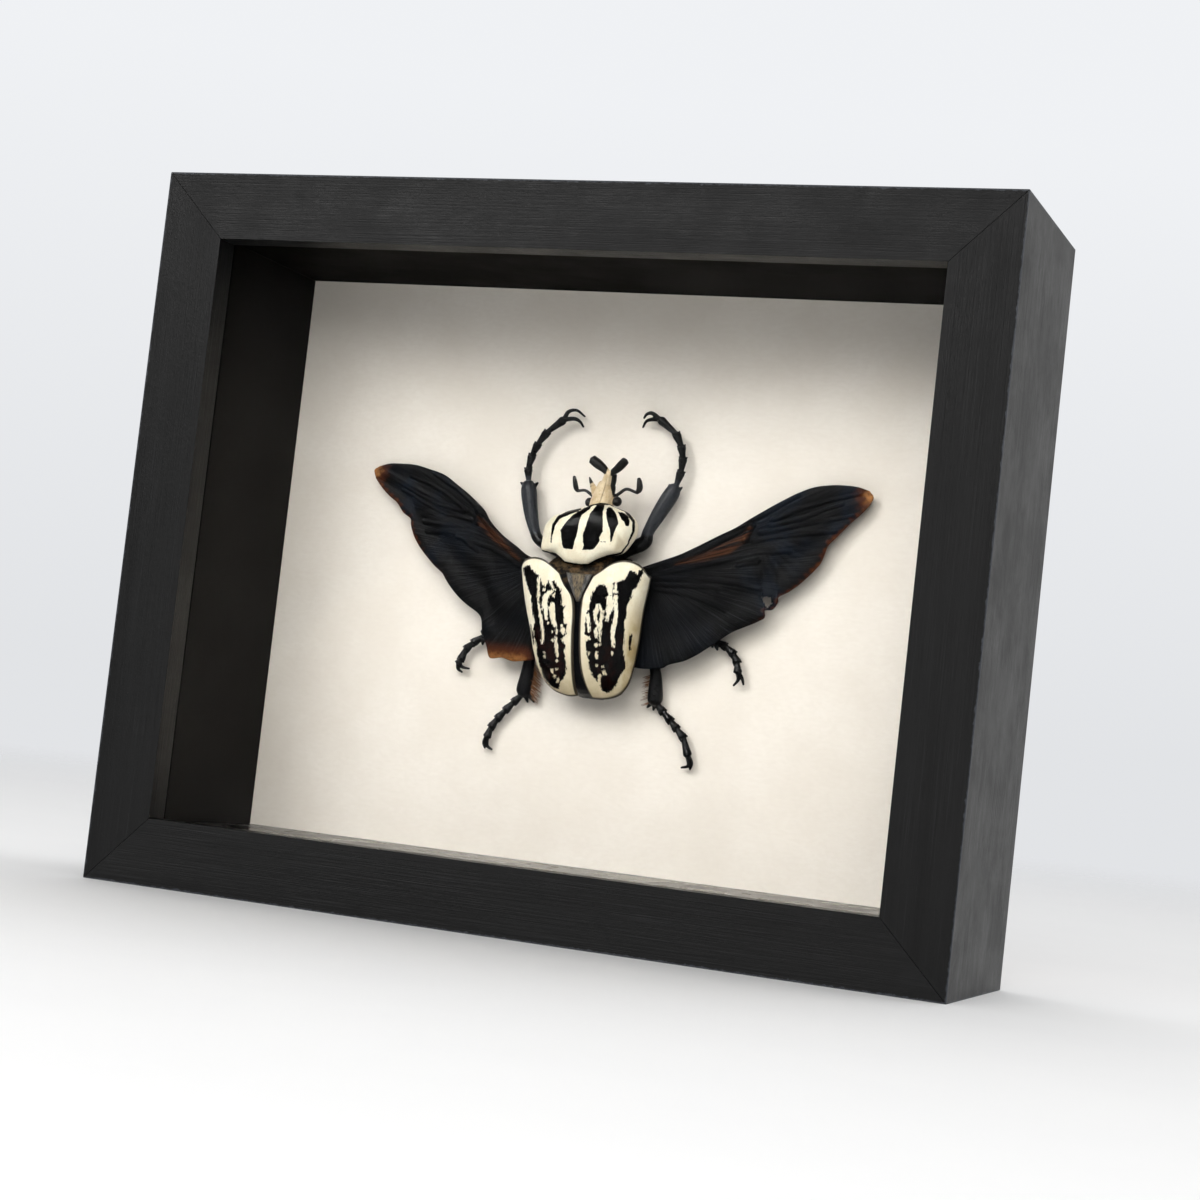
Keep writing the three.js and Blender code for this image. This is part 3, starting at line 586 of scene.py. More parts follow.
ELYTRON_TOP = 18.5
ELYTRON_EDGE, ELYTRON_APEX = 12, 10.5
ELYTRON_BULGE = 2.8
ELYTRON_ROWS, ELYTRON_COLUMNS = 150, 72
SHELL_THICK = 1.0
ELYTRON_READ = 17
ELYTRON_SPAN_Z = (67, 105)
ELYTRA = {
    "elytron_right": {
        "inner": [
            (2.9, 100.8), (1.7, 98), (0.4, 94.6), (0.2, 90), (0.6, 83), (1.4, 75), (2.4, 71), (3.9, 67)],
        "outer": [
            (17.8, 102.7), (17.5, 99.4), (16.6, 92.5), (16.2, 84.5), (15.4, 77.2), (14.2, 72),
            (12.4, 68.8)],
        "front": [
            (2.9, 100.8), (5.3, 102.7), (9, 105.5), (13.1, 106.2), (16.3, 105), (17.8, 102.7)],
        "rear": [(3.9, 67), (7.4, 67), (10.1, 67.6), (12.4, 68.8)],
    },
    "elytron_left": {
        "inner": [
            (-7.5, 100.7), (-4.9, 97.1), (-2.5, 94.6), (-1.4, 91), (-1, 84), (-0.6, 76), (-0.3, 67.3)],
        "outer": [
            (-20.6, 101.5), (-19.3, 95.2), (-17.9, 90), (-16.1, 84.5), (-14.7, 79), (-13.1, 74.4),
            (-10.4, 69.8)],
        "front": [
            (-7.5, 100.7), (-10, 102.7), (-13.2, 104.6), (-16.5, 105), (-19.2, 104), (-20.6, 101.5)],
        "rear": [(-0.3, 67.3), (-2.8, 66.9), (-5, 67.2), (-7.6, 68), (-10.4, 69.8)],
    },
}

# Black field of each wing case, then (x, z, half width) ivory strokes and dots in it, then black strokes
ELYTRON_BLACK = {
    "elytron_left": [
        (-19.4, 101.5), (-18.5, 102.4), (-17.3, 102.6), (-16.7, 101.6), (-15.1, 100.2), (-14.1, 99.9),
        (-13.6, 98.9), (-12.9, 97.4), (-11.9, 97.1), (-11.2, 97.7), (-11.1, 98.8), (-10.2, 98.4),
        (-9.1, 98.8), (-8.2, 97.4), (-7, 96.2), (-6.1, 92), (-5.2, 91.7), (-5.3, 89.6), (-4.9, 87.1),
        (-4, 86.6), (-3.8, 83.8), (-4.7, 82.6), (-4.4, 81.3), (-3.6, 80.6), (-3.9, 78.8), (-2.9, 75.8),
        (-2.5, 73.7), (-3.1, 70.9), (-4, 70.2), (-4, 68.1), (-5.3, 68.2), (-7.3, 69.2), (-9.3, 71.2),
        (-11, 74.8), (-12.1, 77.5), (-12.2, 79), (-13.4, 82), (-14.2, 84.8), (-13.8, 86.4), (-14.7, 88.5),
        (-15.4, 91.2), (-15.8, 93.7), (-17.2, 96.4), (-18.6, 99.4)],
    "elytron_right": [
        (2.4, 94.4), (2.7, 96.1), (3.2, 96.8), (3.6, 97.5), (4.1, 98.7), (5, 98.7), (5.6, 98.9),
        (6.9, 98.2), (7.4, 96.8), (7.7, 95.8), (8.6, 95.9), (9, 96.4), (8.7, 99.4), (9.5, 99.8),
        (10.1, 99.8), (12.1, 100.9), (12.9, 102.8), (13.7, 103.8), (14.8, 103.1), (15.6, 102.4),
        (15.9, 103.7), (17.4, 104.3), (17.6, 103.2), (16.8, 101.6), (16.6, 100.4), (15.7, 98.7),
        (14.8, 97.8), (14.7, 96.2), (13.9, 94), (13.5, 92.4), (13.9, 90.6), (13.4, 88.7), (13.8, 86.6),
        (13.7, 84.7), (14, 82.9), (13.8, 81.1), (14.6, 79), (15.3, 77.2), (15.2, 75.7), (14.2, 74.3),
        (13.8, 73.1), (13.1, 71.2), (12, 69.2), (10.8, 68.5), (9.1, 68.9), (8.2, 70.4), (6.7, 71.8),
        (5.6, 72.9), (4.4, 75), (4, 76.8), (3.2, 78.9), (2.7, 80.7), (2.4, 82.5), (3.9, 83), (3.5, 83.8),
        (1.9, 84.3), (1.6, 85.8), (1.4, 89.5), (2.1, 91.4), (2.2, 92.7)],
}
ELYTRON_IVORY = {
    "elytron_left": [
        [
            (-14.1, 99.6, 0.4), (-14, 97, 0.4), (-13.7, 94.5, 0.4), (-13.4, 92.3, 0.25),
            (-12.9, 90.2, 0.4), (-12.1, 87.8, 0.42), (-11.4, 85.3, 0.42), (-10.8, 82.9, 0.45),
            (-10.8, 80.7, 0.35)],
        [
            (-10, 95.4, 0.6), (-11.2, 94.1, 0.9), (-11.4, 91.9, 0.85), (-10.9, 90, 0.65),
            (-10.4, 87.8, 0.45)],
        [(-9, 91.8, 0.7), (-8.7, 89.9, 0.75), (-8.2, 88.1, 0.65), (-7.4, 86, 0.5)],
        [(-9.6, 91.1, 0.4), (-9, 88.6, 0.45), (-8.3, 86.7, 0.35)],
        [(-6.9, 82.6, 0.4), (-6.4, 80.2, 0.48), (-5.7, 77.4, 0.38)],
        [(-10.5, 98.6, 0.45), (-9.7, 97, 0.38), (-9, 96.2, 0.3)],
        [(-6.9, 84.6, 0.38), (-6.8, 83.9, 0.38)], [(-8.1, 84.2, 0.42)], [(-9.7, 86.5, 0.38)],
        [(-5.4, 86.1, 0.4)], [(-4.9, 85, 0.6), (-4.8, 84.2, 0.6)], [(-7.6, 81.8, 0.38)],
        [(-5.6, 76.1, 0.45)], [(-9.9, 78.1, 0.34)], [(-9.6, 76.9, 0.28)],
        [(-6.8, 73.4, 0.42), (-6.7, 72.8, 0.42)], [(-5.5, 73.7, 0.3)], [(-5.9, 71.7, 0.45)],
        [(-4.7, 71, 0.4), (-4.7, 70.2, 0.35)], [(-12.1, 95.9, 0.45)],
        [(-8.9, 94.9, 0.36), (-8.9, 94.3, 0.36)], [(-3.9, 82.7, 0.4), (-4.6, 82.2, 0.4)]],
    "elytron_right": [
        [(2.1, 89.9, 0.45), (2.5, 87.8, 0.55), (3.1, 85.2, 0.4)],
        [(4.9, 92.9, 0.5), (4.4, 91, 0.7), (4.9, 88.6, 0.6), (5.6, 87.3, 0.4)], [
            (5.4, 92.8, 0.4), (6.3, 91.2, 0.5), (6.3, 88.7, 0.5), (6.3, 86.9, 0.45), (6.6, 82.9, 0.35)],
        [(5.1, 85.8, 0.6), (5.4, 84.1, 0.5)],
        [(8.2, 95.1, 0.9), (8.6, 93.2, 1.05), (8.3, 91.4, 0.8), (8, 88.8, 0.35)],
        [(9.6, 99.6, 0.38), (9.6, 98.6, 0.35), (9.7, 97.1, 0.6)], [
            (9.9, 95.7, 0.6), (10.1, 93.4, 0.6), (10.7, 90.9, 0.7), (10.6, 88.8, 0.65), (10.2, 86.6, 0.6),
            (10.4, 84.1, 0.55), (11, 81.7, 0.4)],
        [(5.7, 81.6, 0.55)], [(6.8, 81.7, 0.3)], [(6.1, 79.5, 0.45), (6.2, 78.1, 0.42)],
        [(10.7, 80, 0.3), (10.8, 79.3, 0.3)], [(3.7, 79.4, 0.25), (3.8, 78.9, 0.25)], [(6.7, 75.8, 0.36)],
        [(8.4, 75.7, 0.34)], [(8.7, 74.4, 0.4), (9.3, 73.7, 0.36)], [(7.8, 73.1, 0.5)],
        [(7.7, 71.9, 0.36), (8.2, 70.7, 0.36)]],
}
ELYTRON_INK = {
    "elytron_left": [[(-15, 85.6, 0.16), (-14.1, 82.9, 0.2), (-13.2, 80, 0.16)]],
    "elytron_right": [[(15.7, 85.4, 0.3), (15.8, 81.4, 0.4)], [(5.3, 90, 0.3), (5.4, 88.8, 0.3)]],
}


def elytron_ink(name, seen):
    """Depth of each point inside the black marks."""
    ink = polygon_depth(seen, ELYTRON_BLACK[name])
    for stroke in ELYTRON_IVORY[name]:
        ink = np.minimum(ink, -stroke_depth(seen, stroke))
    for stroke in ELYTRON_INK[name]:
        ink = np.maximum(ink, stroke_depth(seen, stroke))
    return ink


def add_elytron(name, edges, material):
    s, t = edge_shares(ELYTRON_ROWS), edge_shares(ELYTRON_COLUMNS)
    across = np.sin(t * math.pi / 2) ** 0.8
    plan = patch(edges["inner"], edges["outer"], edges["front"], edges["rear"], s, across)
    margin = ELYTRON_EDGE + (ELYTRON_APEX - ELYTRON_EDGE) * s
    length = (1 - s ** 3.4) ** 0.6 * (1 - 0.12 * (1 - s) ** 8)
    dome = (1 - across ** ELYTRON_BULGE) ** (1 / ELYTRON_BULGE)
    height = margin[:, None] + (ELYTRON_TOP - margin)[:, None] * length[:, None] * dome
    shoulder = np.exp(-(((s[:, None] - 0.13) / 0.09) ** 2 + ((across - 0.72) / 0.13) ** 2))
    knob = np.exp(-(((s[:, None] - 0.83) / 0.07) ** 2 + ((across - 0.55) / 0.16) ** 2))
    height += 0.5 * shoulder + 0.35 * knob
    grid = np.concatenate([plan, height[..., None]], axis=2)
    places, faces, from_edge = sheet(grid, SHELL_THICK)
    seen = seen_at(places, ELYTRON_READ)
    stain = smooth_step(-seen[:, 1], -90, -66) * 0.75
    if name == "elytron_right":
        stain = np.maximum(stain, smooth_step(seen[:, 0], 12, 16) * smooth_step(-seen[:, 1], -100, -84))
    warm = smooth_step(-seen[:, 1], -92, -78)
    lowest = np.interp(places[:, 1], ELYTRON_SPAN_Z, [ELYTRON_APEX, ELYTRON_EDGE])
    rim = np.minimum(from_edge, 0.5 * (places[:, 2] - lowest))
    add_piece(name + "_shell", mesh_of(name, places, faces), material, "striped_chitin", name,
              ink=elytron_ink(name, seen), stain=stain, warm=warm, rim=rim)


# Pronotum

PRONOTUM_OUTLINE = [
    (1.2, 122.8), (4.3, 121.7), (9.1, 120), (11.9, 117.2), (12.1, 114.5), (11, 111.7), (9, 108.4),
    (4.6, 107.1), (2.2, 106), (-0.7, 104.2), (-4.1, 104), (-8, 104.4), (-11, 106.6), (-15.5, 107.3),
    (-16.4, 111), (-16.2, 114.5), (-14.1, 117.4), (-9.9, 119.4), (-4.6, 121), (-1.4, 122.2)]
PRONOTUM_MIDDLE = (-2.2, 113)
# Share of the outline, and of the rise to the top or the fall to the foot
PRONOTUM_SLICES = [
    (0.05, -1), (0.4, -1), (0.7, -0.75), (0.94, -0.15), (1, 0), (0.985, 0.2), (0.93, 0.46), (0.82, 0.72),
    (0.64, 0.9), (0.4, 0.98), (0.12, 1), (0.01, 1.003)]
PRONOTUM_SIDE, PRONOTUM_REAR, PRONOTUM_TOP, PRONOTUM_FOOT = 11, 14, 17.5, 2
PRONOTUM_READ = 16
PRONOTUM_SIDES, PRONOTUM_RINGS = 240, 84
PRONOTUM_STRIPES = [
    [
        (-0.4, 122.6), (0.1, 122.3), (-1.5, 119.8), (-3.3, 118.5), (-4, 117), (-4.2, 115), (-4.3, 113),
        (-4.8, 110.5), (-5.1, 108.2), (-7.8, 108.2), (-8.5, 109), (-9, 111), (-9.6, 113.4), (-8.9, 114.6),
        (-8, 116), (-6.5, 117.8), (-4.5, 119.3), (-2, 120.8)],
    [
        (1.7, 122.6), (3, 122.4), (3.1, 121), (2.8, 119.5), (3, 117.5), (3.4, 114), (2.6, 112.3),
        (2.8, 111.3), (2, 109.8), (1.2, 108.6), (-2.2, 108.2), (-2, 109.5), (-2.6, 112.5), (-2.2, 114),
        (-1.6, 116.5), (-1.1, 118.8), (0.3, 120.8), (1.2, 122)],
    [
        (4.2, 121), (5, 121), (6, 120.3), (7, 119), (7.9, 116.5), (7.3, 115.2), (6.9, 114), (6.4, 111),
        (6.1, 110.5), (5.7, 113.5), (5.3, 115), (4.4, 117), (3.8, 119), (3.8, 120.3)],
    [
        (7.3, 119.9), (9, 119.7), (10.5, 118.9), (11.2, 117.5), (11.2, 116), (10.2, 116), (9.7, 117),
        (8.5, 118)]]
PRONOTUM_STROKES = [
    [
        (-4.2, 119.8, 0.3), (-7.5, 118.6, 0.6), (-10.5, 117, 0.55), (-11.8, 114.8, 0.5),
        (-12, 112.7, 0.35), (-12.1, 109.6, 0.2)],
    [(3, 111, 0.12), (4.8, 111.1, 0.16)]]
PRONOTUM_STAIN = [(8.2, 113.2, 0.6), (9, 111, 1.9), (8, 109, 1)]
PRONOTUM_REAR_RIM = [
    (-14.6, 107.1, 0.2), (-10.2, 106.3, 0.35), (-7.2, 104.2, 0.4), (-3.3, 103.8, 0.4), (0.1, 104, 0.4),
    (3, 105.8, 0.4), (5.4, 106.9, 0.35), (9.8, 108.2, 0.3), (11.8, 111.5, 0.2)]
PRONOTUM_RIM = [
    (-15.5, 115.5, 0), (-13, 117.9, 0.25), (-6, 120.7, 0.3), (4.5, 122, 0.3), (9.5, 120.4, 0.4),
    (12.4, 117.5, 0.45), (12.7, 114.5, 0.4), (11.6, 111.7, 0.25)]


def add_pronotum(material):
    shares = np.linspace(0, 1, PRONOTUM_SIDES, endpoint=False)
    around = along(spline(PRONOTUM_OUTLINE, closed=True), shares)
    slices = along(spline(PRONOTUM_SLICES, steps=10), np.linspace(0, 1, PRONOTUM_RINGS))
    rear = smooth_step(PRONOTUM_MIDDLE[1] - around[:, 1], 0, 8)
    margin = PRONOTUM_SIDE + (PRONOTUM_REAR - PRONOTUM_SIDE) * rear
    rings = []
    for share, rise in slices:
        plan = np.array(PRONOTUM_MIDDLE) + (around - PRONOTUM_MIDDLE) * share
        goal = PRONOTUM_TOP if rise > 0 else PRONOTUM_FOOT
        rings.append(np.column_stack([plan, margin + (goal - margin) * min(abs(rise), 1)]))
    count = len(around)
    last = len(rings) * count
    faces = ring_faces(len(rings), count)
    faces += [tuple(range(count)), tuple(range(last - 1, last - count - 1, -1))]
    places = np.vstack(rings)
    seen = seen_at(places, PRONOTUM_READ)
    strokes = PRONOTUM_STROKES + [PRONOTUM_RIM, PRONOTUM_REAR_RIM]
    ink = np.max([polygon_depth(seen, stripe) for stripe in PRONOTUM_STRIPES]
                 + [stroke_depth(seen, stroke) for stroke in strokes], axis=0)
    stain = np.clip(stroke_depth(seen, PRONOTUM_STAIN), 0, 1) * 0.55
    under = places[:, 2] < np.tile(margin, len(rings)) - 0.6
    add_piece("pronotum_shell", mesh_of("pronotum", places, [face[::-1] for face in faces]), material,
              "striped_chitin", "pronotum", ink=np.where(under, 1.5, ink), stain=stain,
              warm=np.zeros(len(places)), rim=np.full(len(places), 5.0))


# Head

# Limbs of the head are (x, z, height, half width) stations
HEAD_BEIGE = [
    [
        (-0.8, 119, 9.5, 3), (-0.4, 121, 9.8, 3.5), (0, 123.5, 10.2, 3.3), (0.4, 126, 10.8, 2.7),
        (0.8, 128.4, 11.6, 1.9)],
    [(0.5, 126.5, 11.2, 1.7), (1.6, 129, 12.6, 1.4), (2.6, 131.2, 14, 1.2)],
    [(-2.2, 125, 10.4, 1.2), (-3.4, 127.6, 11, 0.8)]]
HEAD_DARK = [
    [
        (2.4, 130.7, 13.9, 0.8), (1, 132, 14.4, 1.15), (-0.9, 133.3, 14.8, 1.45),
        (-2.7, 134.5, 15.2, 1.35)],
    [
        (2.8, 130.7, 13.9, 0.8), (5, 132.2, 14.4, 1.15), (6.3, 133.4, 14.8, 1.3), (7.6, 134.7, 15.2, 1.2)],
    [(2.6, 126.6, 11.2, 0.7), (3.4, 128.6, 12, 0.8), (4, 130.6, 13.4, 0.8)],
    [(-3.2, 127.2, 11, 0.75), (-3.9, 128.6, 11.2, 0.5), (-4.4, 129.8, 11.4, 0.2)],
    [(2.4, 125, 10.4, 1), (3.2, 127.2, 11, 0.7), (3.4, 128.5, 11.4, 0.2)], [
        (-2.6, 124, 9.6, 0.5), (-4.4, 125.2, 9.6, 0.5), (-6, 126, 9.6, 0.45), (-8.4, 125.7, 9.6, 0.45)],
    [
        (-8.3, 125.6, 9.6, 0.5), (-8.9, 126.6, 9.6, 0.75), (-9.4, 128.4, 9.7, 0.7),
        (-9.8, 129.9, 9.8, 0.45)],
    [
        (2.6, 124.4, 9.6, 0.55), (4.6, 125.8, 9.6, 0.5), (6.6, 127.2, 9.6, 0.5), (9.9, 126.4, 9.6, 0.45)],
    [
        (9.8, 126.2, 9.6, 0.5), (10.6, 127.4, 9.6, 0.9), (10.5, 129.2, 9.7, 0.85),
        (10.1, 130.6, 9.8, 0.5)]]
HEAD_VOXEL, HEAD_PASSES = 0.16, 4
# Eyes: x, z, height, radius
HEAD_EYES = [(-4, 122.6, 10, 1.4), (4.4, 123.4, 10, 1.4)]
HEAD_CREASE = [(0.2, 121.6, 0.15), (0.9, 124.5, 0.28), (1.4, 127, 0.22), (2.2, 129.6, 0.1)]


def limb_depth(places, stations):
    """How far places lie inside a limb, negative outside."""
    line = spline(stations, steps=4)
    best = np.full(len(places), -np.inf)
    for x, z, height, half in line:
        best = np.maximum(best, half - np.linalg.norm(places - (x, z, height), axis=1))
    return best


def add_head(material):
    parts = [tube(stations) for stations in HEAD_BEIGE + HEAD_DARK] + [ball(*eye) for eye in HEAD_EYES]
    mesh = fused("head", parts, HEAD_VOXEL, HEAD_PASSES)
    places = card_places(mesh)
    beige = np.max([limb_depth(places, stations) for stations in HEAD_BEIGE], axis=0)
    dark = np.max([limb_depth(places, stations) for stations in HEAD_DARK]
                  + [radius - np.linalg.norm(places - (x, z, height), axis=1)
                     for x, z, height, radius in HEAD_EYES], axis=0)
    crease = np.clip(stroke_depth(places[:, :2], HEAD_CREASE) * 4, 0, 1)
    under = smooth_step(9.5 - places[:, 2], 0, 1.5)
    add_piece("head_capsule", mesh, material, "beige_chitin", "head", ink=dark - beige + under,
              stain=0.8 * crease)


# Body and the small plate between the wing cases

# Rings of the trunk: z, x, half width, half height
TRUNK = [
    (107.5, -2, 11, 4.8), (103.5, -1.8, 14.4, 6.4), (97, -1.4, 14, 7.6), (90, -0.8, 14.2, 7.9),
    (83, -0.3, 13.6, 7.8), (76, 0.3, 11.8, 7), (71, 0.7, 9.2, 5.8), (68, 0.9, 6, 4.4), (66.6, 1, 3, 3)]
TRUNK_RINGS, TRUNK_SIDES = 110, 72
TRUNK_REST = 0.3
TRUNK_PLATE_MM = 4.6
# Rows of the small plate: z, x at its left edge, x at its right edge
PLATE_EDGES = [
    (101.4, -6, 1.9), (99.4, -5.3, 1.3), (97, -3.9, 0.3), (94.6, -2.6, -0.6), (93.4, -1.6, -1.2)]
PLATE_HEIGHT = 16.5


def add_body(material):
    line = along(spline(TRUNK), np.linspace(0, 1, TRUNK_RINGS))
    angle = 2 * math.pi * np.arange(TRUNK_SIDES) / TRUNK_SIDES
    rings = []
    for z, x, wide, high in line:
        groove = 1 - 0.018 * np.exp(-((((z - 66) % TRUNK_PLATE_MM) - 2.3) / 0.35) ** 2) * (z < 95)
        across = x + wide * groove * np.sin(angle)
        height = TRUNK_REST + high * (1 + groove * np.cos(angle))
        rings.append(np.column_stack([across, np.full(TRUNK_SIDES, z), height]))
    places = np.vstack(rings)
    last = len(rings) * TRUNK_SIDES
    faces = ring_faces(len(rings), TRUNK_SIDES)
    faces += [tuple(range(TRUNK_SIDES - 1, -1, -1)), tuple(range(last - TRUNK_SIDES, last))]
    hairy = smooth_step(places[:, 1], 97, 101)
    add_piece("body_trunk", mesh_of("body", places, faces), material, "dark_chitin", "body", hairy=hairy)


def add_scutellum(material):
    line = spline(PLATE_EDGES, steps=12)
    across = np.linspace(0, 1, 40)
    x = line[:, 1:2] + (line[:, 2:3] - line[:, 1:2]) * across
    height = PLATE_HEIGHT + 0.35 * np.sin(across * math.pi)[None] - 0.25 * np.exp(
        -((np.abs(across - 0.5) - 0.27) / 0.05) ** 2)[None] + 0 * x
    grid = np.stack([x, np.repeat(line[:, :1], 40, axis=1), height], axis=2)
    places, faces, _ = sheet(grid, SHELL_THICK)
    share = np.interp(places[:, 1], line[::-1, 0], line[::-1, 1])
    width = np.interp(places[:, 1], line[::-1, 0], line[::-1, 2] - line[::-1, 1])
    flank = smooth_step(np.abs((places[:, 0] - share) / width - 0.5), 0.22, 0.3)
    add_piece("scutellum_plate", mesh_of("scutellum", places, faces), material, "dark_chitin", "scutellum",
              flank=flank)


# Hind wings

WING_HEIGHT = 9
WING_THICK = 0.4
WING_ROWS, WING_COLUMNS = 210, 104
WING_DROOP_X, WING_DROOP = (14, 79), (0, 5.5)
# Edges are (x, z) places; copper and veins are (x, z, half width) strokes
WINGS = {
    "hindwing_left": {
        "leading": [
            (-12, 103.5), (-21.4, 105.9), (-25.2, 108.2), (-30.5, 111.5), (-34.8, 115.3), (-37.1, 118.2),
            (-41.9, 122), (-46.7, 125.1), (-51.4, 127.8), (-56.2, 129.1), (-61, 130.1), (-65.7, 130.2),
            (-70, 129.9), (-72.9, 128.9)],
        "trailing": [
            (-12, 76.6), (-20.2, 75.2), (-22.9, 74.9), (-26.2, 75.6), (-30.1, 75.3), (-31.4, 78.2),
            (-33.3, 82.5), (-34, 86), (-35.2, 87.7), (-39, 89.9), (-41.9, 91.8), (-44.8, 94.4),
            (-47.1, 97), (-48.1, 98.4), (-51.4, 100.8), (-54.3, 103.4), (-57.1, 106.3), (-59, 109.1),
            (-60.2, 112), (-60.5, 113.7), (-63.3, 115.6), (-65.7, 118.4), (-68.6, 120.3), (-71.4, 122.7),
            (-73.8, 125.3)],
        "root": [(-12, 103.5), (-11, 90), (-12, 76.6)],
        "tip": [(-72.9, 128.9), (-74.5, 127.8), (-73.8, 125.3)],
        "hinge": (-14, 104),
        "fold": (-41, 118),
        "amber_tip": (-74.5, 127.5),
        "copper": [(-24, 104.5, 0.8), (-32, 110.2, 1.6), (-37.5, 114.5, 1.6), (-39, 116, 0.6)],
        "veins": [
            [
                (-15, 104.2, 0.9), (-21.8, 105.2, 0.8), (-29.4, 109.9, 0.7), (-35.8, 115.3, 0.7),
                (-39.4, 119.2, 0.7), (-46.7, 124.2, 0.5), (-54.4, 128, 0.3)],
            [
                (-16, 103.2, 0.7), (-23.5, 104.2, 0.6), (-28.8, 108, 0.5), (-33.7, 112.2, 0.5),
                (-38.9, 117.8, 0.6)],
            [(-37.7, 116.6, 0.5), (-38.8, 114.5, 0.6)], [
                (-43.2, 117.9, 0.3), (-50.1, 122.2, 0.3), (-55.7, 124.8, 0.3), (-62, 126.6, 0.2)],
            [
                (-43.6, 117.4, 0.4), (-51.3, 118.9, 0.4), (-57.9, 121.2, 0.4), (-64.7, 124.2, 0.3),
                (-69.6, 126.6, 0.2)],
            [
                (-41.1, 115.2, 0.3), (-49.3, 116.4, 0.3), (-56.9, 119.2, 0.3), (-64.1, 122.4, 0.2)],
            [(-41.3, 113.1, 0.3), (-48.8, 113, 0.3), (-56, 113.3, 0.3)],
            [(-40.7, 110.7, 0.3), (-46.8, 111.1, 0.3), (-54.8, 110.5, 0.3)],
            [(-42.6, 109.4, 0.4), (-40.6, 107.9, 0.4), (-37.7, 106.1, 0.3)], [
                (-16, 101, 0.5), (-24.6, 103, 0.5), (-33, 107.2, 0.4), (-38.5, 108.4, 0.4),
                (-44.8, 109.6, 0.3)]],
    },
    "hindwing_right": {
        "leading": [
            (10, 103.5), (16.5, 106.3), (19.5, 107.5), (25, 109.8), (30, 112.5), (36, 116), (40.5, 118.5),
            (44.5, 121.3), (49, 124.3), (54, 127.5), (58, 129.8), (62, 131.5), (66, 132.3), (70, 132.6),
            (74.5, 132.4), (78, 131.5)],
        "trailing": [
            (10, 77), (17, 76.5), (23.5, 77.3), (25, 78.3), (29.5, 79.8), (33, 81.8), (36, 84),
            (38.5, 85.8), (40.5, 87.5), (43, 89.3), (46, 90.8), (50, 92.8), (51.9, 94.2), (51.5, 95.9),
            (53.9, 96.4), (55.2, 98.4), (55.3, 100), (58, 101.8), (61, 104.3), (64, 107.5), (66.3, 110.5),
            (67.3, 113.5), (67.8, 115.3), (70.5, 118.5), (73.5, 122), (76.5, 125), (78.5, 127.5)],
        "root": [(10, 103.5), (10, 90), (10, 77)],
        "tip": [(78, 131.5), (79.3, 129.8), (78.5, 127.5)],
        "hinge": (14, 104),
        "fold": (47, 118),
        "amber_tip": (79, 130),
        "copper": [
            (24, 107, 0.7), (32, 109.4, 1.4), (38.5, 112.4, 2), (43, 115.6, 1.4), (45, 118.5, 0.9)],
        "veins": [
            [
                (13, 104.6, 0.9), (16.3, 105.5, 0.9), (26.3, 110.9, 0.8), (37.5, 117, 0.8),
                (44.4, 120.8, 0.8), (49.9, 124.1, 0.6), (58, 129, 0.3)],
            [
                (13, 103.6, 0.7), (16.9, 104.7, 0.7), (24, 107.6, 0.6), (31.8, 111.7, 0.6),
                (37.8, 115.2, 0.5), (43.3, 118.8, 0.6), (45.6, 119.6, 0.6)],
            [(45.3, 119.5, 0.6), (44.2, 117.2, 0.7), (43.7, 115.2, 0.5)], [
                (51.1, 121.5, 0.4), (58.8, 125.2, 0.4), (67.3, 128.3, 0.35), (76, 130.6, 0.2)],
            [
                (50.9, 119.9, 0.4), (59.5, 122.5, 0.4), (65.4, 125.4, 0.3), (70.9, 127.3, 0.2)],
            [
                (48, 117.7, 0.4), (57.1, 120.1, 0.35), (65.7, 122.2, 0.3), (74.3, 124.3, 0.2)],
            [
                (46, 115.2, 0.4), (53, 117, 0.35), (61.7, 118.5, 0.3), (69.6, 119.5, 0.2)],
            [
                (14, 102.6, 0.6), (17.6, 103.4, 0.6), (29.2, 106.7, 0.5), (38.5, 109.4, 0.5),
                (47.2, 112.2, 0.4), (57, 113, 0.3)],
            [
                (42.3, 108, 0.4), (44.9, 108.8, 0.4), (48, 109.3, 0.4), (48.4, 110.2, 0.3)],
            [
                (14, 101.8, 0.5), (17.9, 102.5, 0.5), (27.3, 102.9, 0.4), (36.5, 103.4, 0.4),
                (44.7, 102.7, 0.35), (49.8, 101.9, 0.3)],
            [
                (14, 100.4, 0.4), (27.5, 101.1, 0.35), (35.8, 101.3, 0.3), (37.7, 100.7, 0.3)],
            [(14, 99.8, 0.4), (27.8, 98.8, 0.35), (35.8, 97, 0.3), (40.1, 95.2, 0.3)]],
    },
}
WING_HOLES = {
    "hindwing_left": None,
    "hindwing_right": [(49.5, 100.1), (53.4, 100), (53.9, 98.1), (52.2, 96.4)],
}
# Margin of the tear that curls up, as a stroke
WING_CURL = [(51.6, 95.2, 1.4), (54, 97.2, 1.6), (55.2, 99.6, 1.2)]
WING_LOBE_Z = (74.8, 82.5)
PLEATS = 26
FOLD_PLEATS = 17
FAN_RADIUS = 40


def pleats(plan, centre, count, wander):
    """Folds that fan out from a centre, as heights from -1 to 1."""
    offset = plan - np.array(centre)
    angle = np.arctan2(offset[..., 1], offset[..., 0])
    distance = np.linalg.norm(offset, axis=-1)
    wave = angle * count + wander * np.sin(distance * 0.11 + 3 * angle) + 0.8 * np.sin(distance * 0.23)
    return np.abs(np.sin(wave)) * 2 - 1


